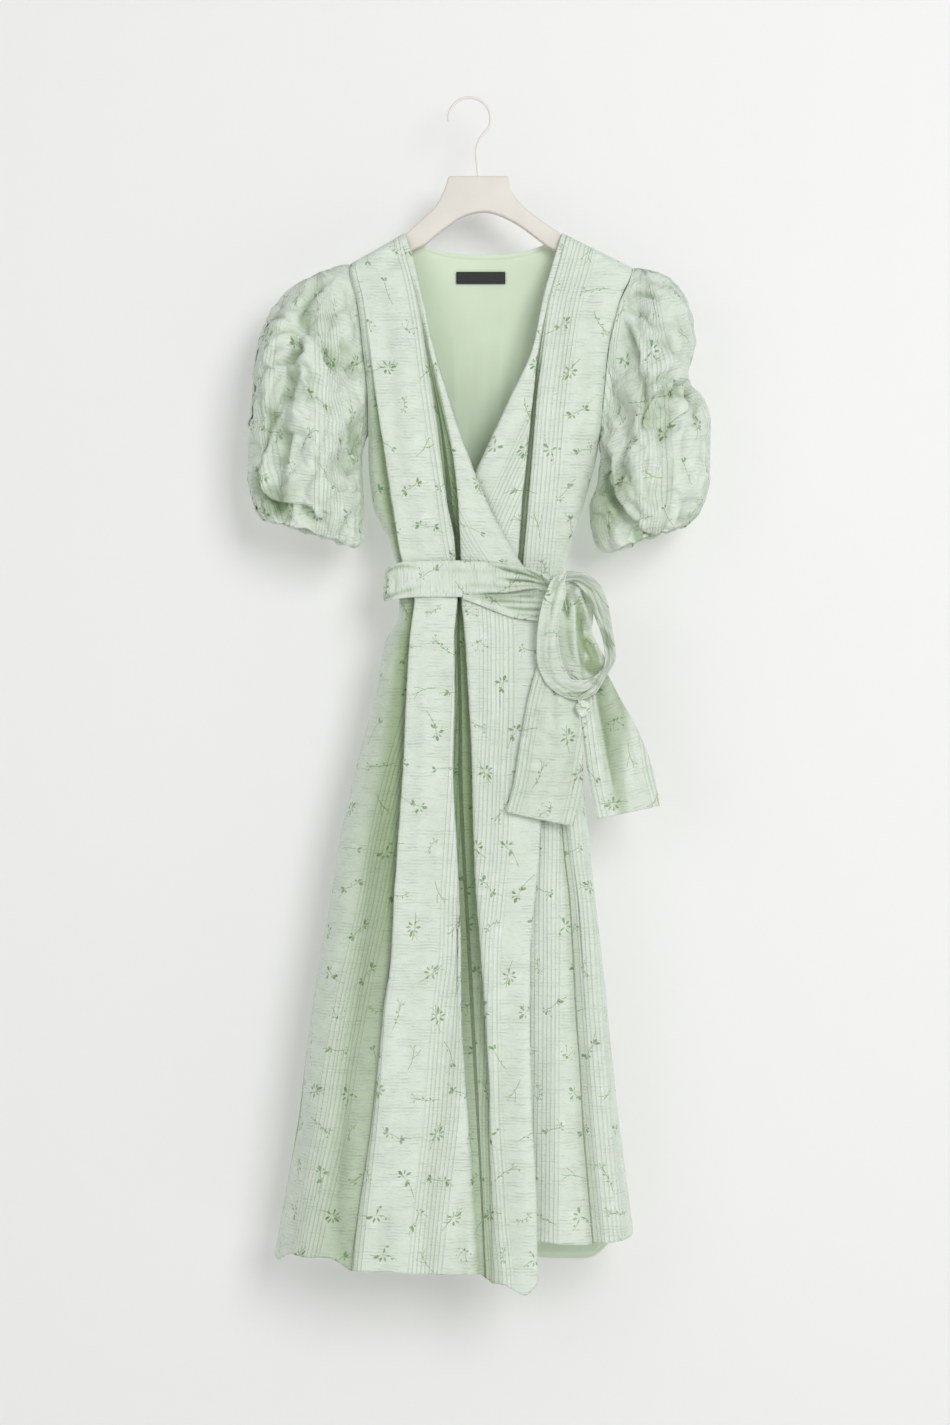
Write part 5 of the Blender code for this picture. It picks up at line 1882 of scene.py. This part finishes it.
def print_group():
    """The whole print: leaves, stems and pale blossom, scattered and turned over the cloth."""
    nodes, given, out = group(
        "flower_print", [("Vector", "Vector")],
        [("Leaf", "Float"), ("Stem", "Float"), ("Blossom", "Float"), ("Tone", "Float")],
    )
    at = nodes.vector("SCALE", given["Vector"])
    at.node.inputs["Scale"].default_value = 1000 / PRINT_CELL
    parts = nodes.add("SeparateXYZ", [at]).outputs
    row = nodes.math("FLOOR", parts["Y"])
    shifted = nodes.math("ADD", parts["X"], nodes.math("MULTIPLY", row, 0.37))
    column = nodes.math("FLOOR", shifted)
    cell = nodes.add("CombineXYZ", [column, row, 0.0]).outputs[0]
    chance = nodes.add("TexWhiteNoise", [cell], noise_dimensions="3D").outputs["Color"]
    random = nodes.add("SeparateColor", [chance]).outputs
    second = nodes.add(
        "TexWhiteNoise", [nodes.vector("ADD", cell, (31.7, 11.3, 5.0))], noise_dimensions="3D"
    ).outputs["Color"]
    more = nodes.add("SeparateColor", [second]).outputs
    x = nodes.math("SUBTRACT", nodes.math("SUBTRACT", shifted, column), 0.5)
    y = nodes.math("SUBTRACT", nodes.math("SUBTRACT", parts["Y"], row), 0.5)
    x = nodes.math("MULTIPLY_ADD", nodes.math("SUBTRACT", random["Red"], 0.5), -0.24, x)
    y = nodes.math("MULTIPLY_ADD", nodes.math("SUBTRACT", random["Green"], 0.5), -0.24, y)
    local = nodes.vector("SCALE", nodes.add("CombineXYZ", [x, y, 0.0]).outputs[0])
    local.node.inputs["Scale"].default_value = PRINT_CELL
    wander = nodes.noise(local, 0.55, 1.0, 0.5, "Color")
    wander = nodes.vector("SUBTRACT", wander, (0.5, 0.5, 0.5))
    local = nodes.vector("MULTIPLY_ADD", wander, (1.8, 1.8, 0.0), local)
    turned = nodes.add(
        "VectorRotate", {"Vector": local, "Angle": nodes.math("MULTIPLY", random["Blue"], 6.283)},
        rotation_type="Z_AXIS",
    ).outputs[0]
    mirror = nodes.math("MULTIPLY_ADD", nodes.math("GREATER_THAN", more["Green"], 0.5), 2.0, -1.0)
    flipped = nodes.add("CombineXYZ", [mirror, 1.0, 0.0]).outputs[0]
    turned = nodes.vector("MULTIPLY", turned, flipped)
    kind = more["Red"]
    leaves = motif_masks(
        nodes, turned, kind, MOTIF_LEAVES, leaf_group(), LEAF_LONG,
        lambda row: (row["wide"] / LEAF_WIDE, row["dark"]),
    )
    stems = motif_masks(
        nodes, turned, kind, MOTIF_STEMS, stem_group(), STEM_LONG,
        lambda row: (row["wide"], row["bend"] / STEM_BEND + 0.5),
    )
    # a pale blossom beside most motifs
    side = nodes.vector("SUBTRACT", turned, (6.5, -7.0, 0.0))
    petal = nodes.noise(side, 0.42, 2.0)
    blossom = nodes.ramp(
        nodes.math("MULTIPLY_ADD", petal, 15.0, nodes.vector("LENGTH", side)), 13.5, 9.0
    )
    blossom = nodes.math("MULTIPLY", blossom, nodes.math("LESS_THAN", more["Green"], 0.7))
    return finish_group(
        nodes, out, Leaf=leaves, Stem=stems, Blossom=blossom, Tone=more["Blue"]
    )


# The weave's sizes in metres: from one group of upright lines to the next, from line to line, and
# from one crosswise wave to the next
LINE_GROUP, LINE_STEP, WAVE_STEP = 0.088, 0.0047, 0.0036


def weave_group():
    """Crinkled cloth: groups of thin upright lines between stretches of broken crosswise waves."""
    nodes, given, out = group(
        "crinkled_weave", [("Vector", "Vector"), ("Crumple", "Float")],
        [("Height", "Float"), ("Groove", "Float")],
    )
    parts = nodes.add("SeparateXYZ", [given["Vector"]]).outputs
    u, v = parts["X"], parts["Y"]

    def stretched(across, down, seed):
        return nodes.add(
            "CombineXYZ", [nodes.math("MULTIPLY", u, across), nodes.math("MULTIPLY", v, down), seed]
        ).outputs[0]

    band = nodes.math("SINE", nodes.math("MULTIPLY_ADD", u, 2 * math.pi / LINE_GROUP, 0.4))
    lined = nodes.ramp(band, -0.15, 0.3)
    sway = nodes.noise(stretched(110.0, 3.0, 0.0), 1.0, 2.0)
    lines = nodes.math("MULTIPLY", u, 2 * math.pi / LINE_STEP)
    upright = nodes.math("SINE", nodes.math("MULTIPLY_ADD", sway, 6.0, lines))
    upright = nodes.ramp(upright, -1.0, -0.5)
    bend = nodes.noise(stretched(48.0, 42.0, 3.0), 1.0, 2.0)
    waves = nodes.math("MULTIPLY", v, 2 * math.pi / WAVE_STEP)
    wave = nodes.math("SINE", nodes.math("MULTIPLY_ADD", bend, 9.0, waves))
    strong = nodes.ramp(nodes.noise(stretched(34.0, 95.0, 11.0), 1.0, 2.0), 0.38, 0.62)
    trough = nodes.math("MULTIPLY", nodes.ramp(wave, -0.15, -0.95), strong)
    ragged = nodes.noise(stretched(85.0, 330.0, 7.0), 1.0, 3.0, 0.6)
    plain = nodes.math("MULTIPLY_ADD", trough, -0.5, nodes.ramp(ragged, 0.2, 0.8))
    crosswise = nodes.math("MULTIPLY", plain, nodes.ramp(lined, 0.0, 1.0, 1.0, 0.75))
    height = nodes.math("MULTIPLY_ADD", nodes.math("MULTIPLY", upright, lined), 0.68, crosswise)
    thread = nodes.noise(given["Vector"], 1400.0, 1.0)
    height = nodes.math("MULTIPLY_ADD", thread, 0.12, height)
    # the groove shade is painted shade: in the upright grooves, stronger or fainter by thin, and in
    # the troughs of the crosswise waves
    thin = nodes.ramp(nodes.noise(stretched(300.0, 16.0, 5.0), 1.0, 1.0), 0.35, 0.65, 0.15, 0.75)
    groove_shade = nodes.math("MULTIPLY", lined, thin)
    groove_shade = nodes.math("MULTIPLY", nodes.math("SUBTRACT", 1.0, upright), groove_shade)
    # sharp little creases where the cloth is bunched up
    bent = nodes.noise(stretched(46.0, 36.0, 21.0), 1.0, 2.0)
    ridged = nodes.math("ABSOLUTE", nodes.math("SUBTRACT", bent, 0.5))
    crease = nodes.math("MULTIPLY", nodes.ramp(ridged, 0.045, 0.0), given["Crumple"])
    height = nodes.math("MULTIPLY_ADD", crease, -1.0, height)
    return finish_group(
        nodes, out, Height=height,
        Groove=nodes.math("MAXIMUM", groove_shade, nodes.math("MULTIPLY", trough, 0.26)),
    )


def new_finish(name):
    made = bpy.data.materials.new(name)
    made.use_nodes = True
    nodes = Nodes(made.node_tree)
    shader = made.node_tree.nodes["Principled BSDF"]
    return made, nodes, shader


def uv_of(nodes):
    return nodes.add("UVMap", uv_map="UVMap").outputs[0]


def shaded_colour(base, red, green, blue):
    return linear(base[0] * red, base[1] * green, base[2] * blue)


def mottled(nodes, patch, low, base, share):
    """A colour that darkens to a share of itself in soft patches."""
    return nodes.mix(
        nodes.ramp(patch, low, 0.7), linear(*base), shaded_colour(base, share, share, share)
    )


def surfaced(nodes, shader, colour, height, strength, deep, rough):
    """Joins a finish's colour, its relief, deep in metres, and its roughness to the shader."""
    bump = nodes.add("Bump", {"Strength": strength, "Distance": deep, "Height": height})
    for name, value in (("Base Color", colour), ("Normal", bump.outputs[0]), ("Roughness", rough)):
        nodes.feed(shader.inputs[name], value)


SHADED = (0.44, 0.53, 0.34, 1.0)  # the share of its colour that cloth keeps deep between layers


def printed_cloth(name, weave, pattern, base, leaf, stem, blossom):
    made, nodes, shader = new_finish(name)
    uv = uv_of(nodes)
    crumple = nodes.add("Attribute", attribute_name="crumple").outputs["Fac"]
    cloth = nodes.place(weave, Vector=uv, Crumple=crumple)
    motif = nodes.place(pattern, Vector=uv)
    patch = nodes.noise(uv, 22.0, 3.0)
    colour = mottled(nodes, patch, 0.3, base, 0.975)
    # painted shade in the weave's grooves and in the troughs of its waves
    groove_shade = nodes.math("MULTIPLY", cloth["Groove"], 0.31)
    colour = nodes.mix(groove_shade, colour, shaded_colour(base, 0.80, 0.87, 0.80))
    colour = nodes.mix(nodes.math("MULTIPLY", motif["Blossom"], 0.4), colour, linear(*blossom))
    colour = nodes.mix(nodes.math("MULTIPLY", motif["Stem"], 0.9), colour, linear(*stem))
    wash = nodes.ramp(nodes.noise(uv, 420.0, 2.0), 0.3, 0.75)
    green = nodes.mix(wash, linear(*leaf), linear(*[mix(c, d, 0.35) for c, d in zip(leaf, base)]))
    strength = nodes.ramp(motif["Tone"], 0.0, 1.0, 0.82, 1.0)
    colour = nodes.mix(nodes.math("MULTIPLY", motif["Leaf"], strength), colour, green)
    # painted shade: the fold attribute gives how deep each place lies in shade between layers, in
    # creases and in hollows, and darkens the colour towards SHADED there
    fold = nodes.add("Attribute", attribute_name="fold").outputs["Fac"]
    colour = nodes.mix(fold, colour, SHADED, "MULTIPLY")
    surfaced(nodes, shader, colour, cloth["Height"], 1.0, 0.0009, 0.78)
    shader.inputs["Specular IOR Level"].default_value = 0.3
    shader.inputs["Sheen Weight"].default_value = 0.12
    shader.inputs["Sheen Roughness"].default_value = 0.5
    return made


# In metres, from one thread of the lining or rib of the label to the next
LINING_THREAD, LABEL_RIB = 0.0006, 0.0009


def plain_cloth(name, base):
    """The smooth woven lining."""
    made, nodes, shader = new_finish(name)
    uv = uv_of(nodes)
    parts = nodes.add("SeparateXYZ", [uv]).outputs
    warp = nodes.math("SINE", nodes.math("MULTIPLY", parts["X"], 2 * math.pi / LINING_THREAD))
    weft = nodes.math("SINE", nodes.math("MULTIPLY", parts["Y"], 2 * math.pi / LINING_THREAD))
    crossed = nodes.math("MULTIPLY", warp, weft)
    fine = nodes.math("MULTIPLY_ADD", nodes.noise(uv, 260.0, 2.0), 1.2, crossed)
    colour = mottled(nodes, nodes.noise(uv, 14.0, 3.0), 0.3, base, 0.975)
    surfaced(nodes, shader, colour, fine, 0.5, 0.0001, 0.6)
    shader.inputs["Sheen Weight"].default_value = 0.15
    return made


def woven_label(name):
    made, nodes, shader = new_finish(name)
    uv = uv_of(nodes)
    parts = nodes.add("SeparateXYZ", [uv]).outputs
    rib = nodes.math("SINE", nodes.math("MULTIPLY", parts["Y"], 2 * math.pi / LABEL_RIB))
    warp = nodes.noise(uv, 900.0, 1.0)
    colour = nodes.mix(nodes.ramp(warp, 0.3, 0.8), linear(30, 31, 32), linear(52, 53, 54))
    surfaced(nodes, shader, colour, nodes.math("MULTIPLY_ADD", warp, 0.8, rib), 0.6, 0.00015, 0.55)
    return made


def moulded(name, base, rough, grain):
    """Matt moulded plastic or enamelled wire, with a fine grain and a little wear."""
    made, nodes, shader = new_finish(name)
    spot = nodes.add("TexCoord").outputs["Object"]
    patch = nodes.noise(spot, 30.0, 3.0)
    colour = mottled(nodes, patch, 0.35, base, 0.985)
    worn = nodes.ramp(patch, 0.3, 0.7, rough - 0.05, rough + 0.06)
    surfaced(nodes, shader, colour, nodes.noise(spot, grain, 3.0, 0.6), 0.35, 0.0001, worn)
    return made


def stage_wall(name, base, one_sided):
    made, nodes, shader = new_finish(name)
    shader.inputs["Base Color"].default_value = linear(*base)
    shader.inputs["Roughness"].default_value = 0.95
    shader.inputs["Specular IOR Level"].default_value = 0.1
    if one_sided:
        clear = nodes.add("BsdfTransparent")
        behind = nodes.add("NewGeometry").outputs["Backfacing"]
        chosen = nodes.add("MixShader", [behind, shader.outputs[0], clear.outputs[0]])
        nodes.feed(nodes.tree.nodes["Material Output"].inputs["Surface"], chosen.outputs[0])
    return made


def stage_plane(name, corners, finish):
    bm = bmesh.new()
    bm.faces.new([bm.verts.new(corner) for corner in corners])
    mesh = bpy.data.meshes.new(name)
    bm.to_mesh(mesh)
    bm.free()
    mesh.materials.append(finish)
    made = bpy.data.objects.new(name, mesh)
    bpy.context.scene.collection.objects.link(made)
    return made


# The soft lights, in metres and watts: where each stands, how high it aims, and its size
LIGHTS = """
name          x    y    z    aim_z wide tall watts
key_light     1.4  -3.4 0.5  -0.7  1.4  1.8  63
fill_light    -1.6 -2.6 -0.2 -0.7  1.6  2.0  9
side_fill     2.6  -0.9 -0.3 -0.6  1.4  1.8  3
back_fill     1.7  2.1  0.4  -0.7  1.4  1.6  32
low_back_fill -1.9 1.7  0.0  -0.7  1.2  1.6  14
"""


def softbox(row):
    lamp = bpy.data.lights.new(row["name"], "AREA")
    lamp.shape = "RECTANGLE"
    lamp.size, lamp.size_y = row["wide"], row["tall"]
    lamp.energy = row["watts"]
    made = bpy.data.objects.new(row["name"], lamp)
    made.location = (row["x"], row["y"], row["z"])
    aim = Vector((0, 0, row["aim_z"])) - Vector(made.location)
    made.rotation_euler = aim.to_track_quat("-Z", "Y").to_euler()
    bpy.context.scene.collection.objects.link(made)


# The camera and the stage, in metres
VIEW_X, VIEW_Z = 0.00784, -0.6977  # where the camera looks, square on to the dress
VIEW_Y, VIEW_AWAY = -0.04, 2.6
FRAME_ROWS, ROW_SIZE = 1425, 0.00112  # the frame's rows, and what each takes in at that distance
FRAME_HIGH = FRAME_ROWS * ROW_SIZE
WALL_Y, WALL_TOP = 0.078, 1.6
FLOOR_Z = -1.72
STAGE_REACH = 3.0


# Colours as screen values from 0 to 255
BASE = (221, 231, 218)
LEAF = (110, 148, 84)
STEM = (147, 175, 124)
BLOSSOM = (238, 243, 236)
LINING_COLOUR = (222, 238, 212)
HANGER_COLOUR = (223, 218, 209)
HOOK_COLOUR = (230, 226, 219)
WALL_COLOUR = (238, 238, 237)
FLOOR_COLOUR = (240, 240, 238)


def studio():
    scene = bpy.context.scene
    camera = bpy.data.cameras.new("camera")
    camera.sensor_width = 36.0
    camera.sensor_fit = "AUTO"
    camera.lens = 36.0 * VIEW_AWAY / FRAME_HIGH
    camera.clip_start, camera.clip_end = 0.05, 50.0
    eye = bpy.data.objects.new("camera", camera)
    eye.location = (VIEW_X, VIEW_Y - VIEW_AWAY, VIEW_Z)
    eye.rotation_euler = (math.pi / 2, 0.0, 0.0)
    scene.collection.objects.link(eye)
    scene.camera = eye
    far = STAGE_REACH
    wall = stage_plane(
        "studio_wall",
        [
            (x, WALL_Y, z)
            for x, z in ((-far, FLOOR_Z), (far, FLOOR_Z), (far, WALL_TOP), (-far, WALL_TOP))
        ],
        stage_wall("wall_paint", WALL_COLOUR, True),
    )
    for ray in ("diffuse", "glossy", "transmission", "shadow"):
        setattr(wall, f"visible_{ray}", False)
    stage_plane(
        "studio_floor",
        [(x, y, FLOOR_Z) for x, y in ((-far, -far), (far, -far), (far, far), (-far, far))],
        stage_wall("floor_paint", FLOOR_COLOUR, False),
    )
    for row in rows_of(LIGHTS):
        softbox(row)
    world = bpy.data.worlds.new("studio_air")
    world.use_nodes = True
    sky = world.node_tree.nodes["Background"]
    sky.inputs["Color"].default_value = (1.0, 1.0, 1.0, 1.0)
    sky.inputs["Strength"].default_value = 0.5
    scene.world = world
    scene.view_settings.view_transform = "Standard"
    scene.view_settings.look = "None"




def make_dress():
    weave, pattern = weave_group(), print_group()
    printed = printed_cloth("printed_crinkle_cloth", weave, pattern, BASE, LEAF, STEM, BLOSSOM)
    plain = plain_cloth("smooth_lining", LINING_COLOUR)
    for part in ("bodice", "skirt"):
        front_panel(part, "over", [printed, plain])
        front_panel(part, "under", [printed, plain])
        back_panel(part, [printed, plain], plain)
    for side in ("right", "left"):
        sleeve(side, [printed, plain])
    sash_pieces([printed])
    knot("sash_knot_cloth", "sash_knot", KNOT, 0.0, printed)
    knot("bow_loop_end_cloth", "bow_loop_end", LOOP_END, 2.0, printed)
    neck_label(woven_label("bare_woven_label"))
    hanger_piece(moulded("cream_moulded_plastic", HANGER_COLOUR, 0.5, 900.0))
    hook_piece(moulded("cream_enamelled_wire", HOOK_COLOUR, 0.38, 1500.0))


make_dress()
studio()
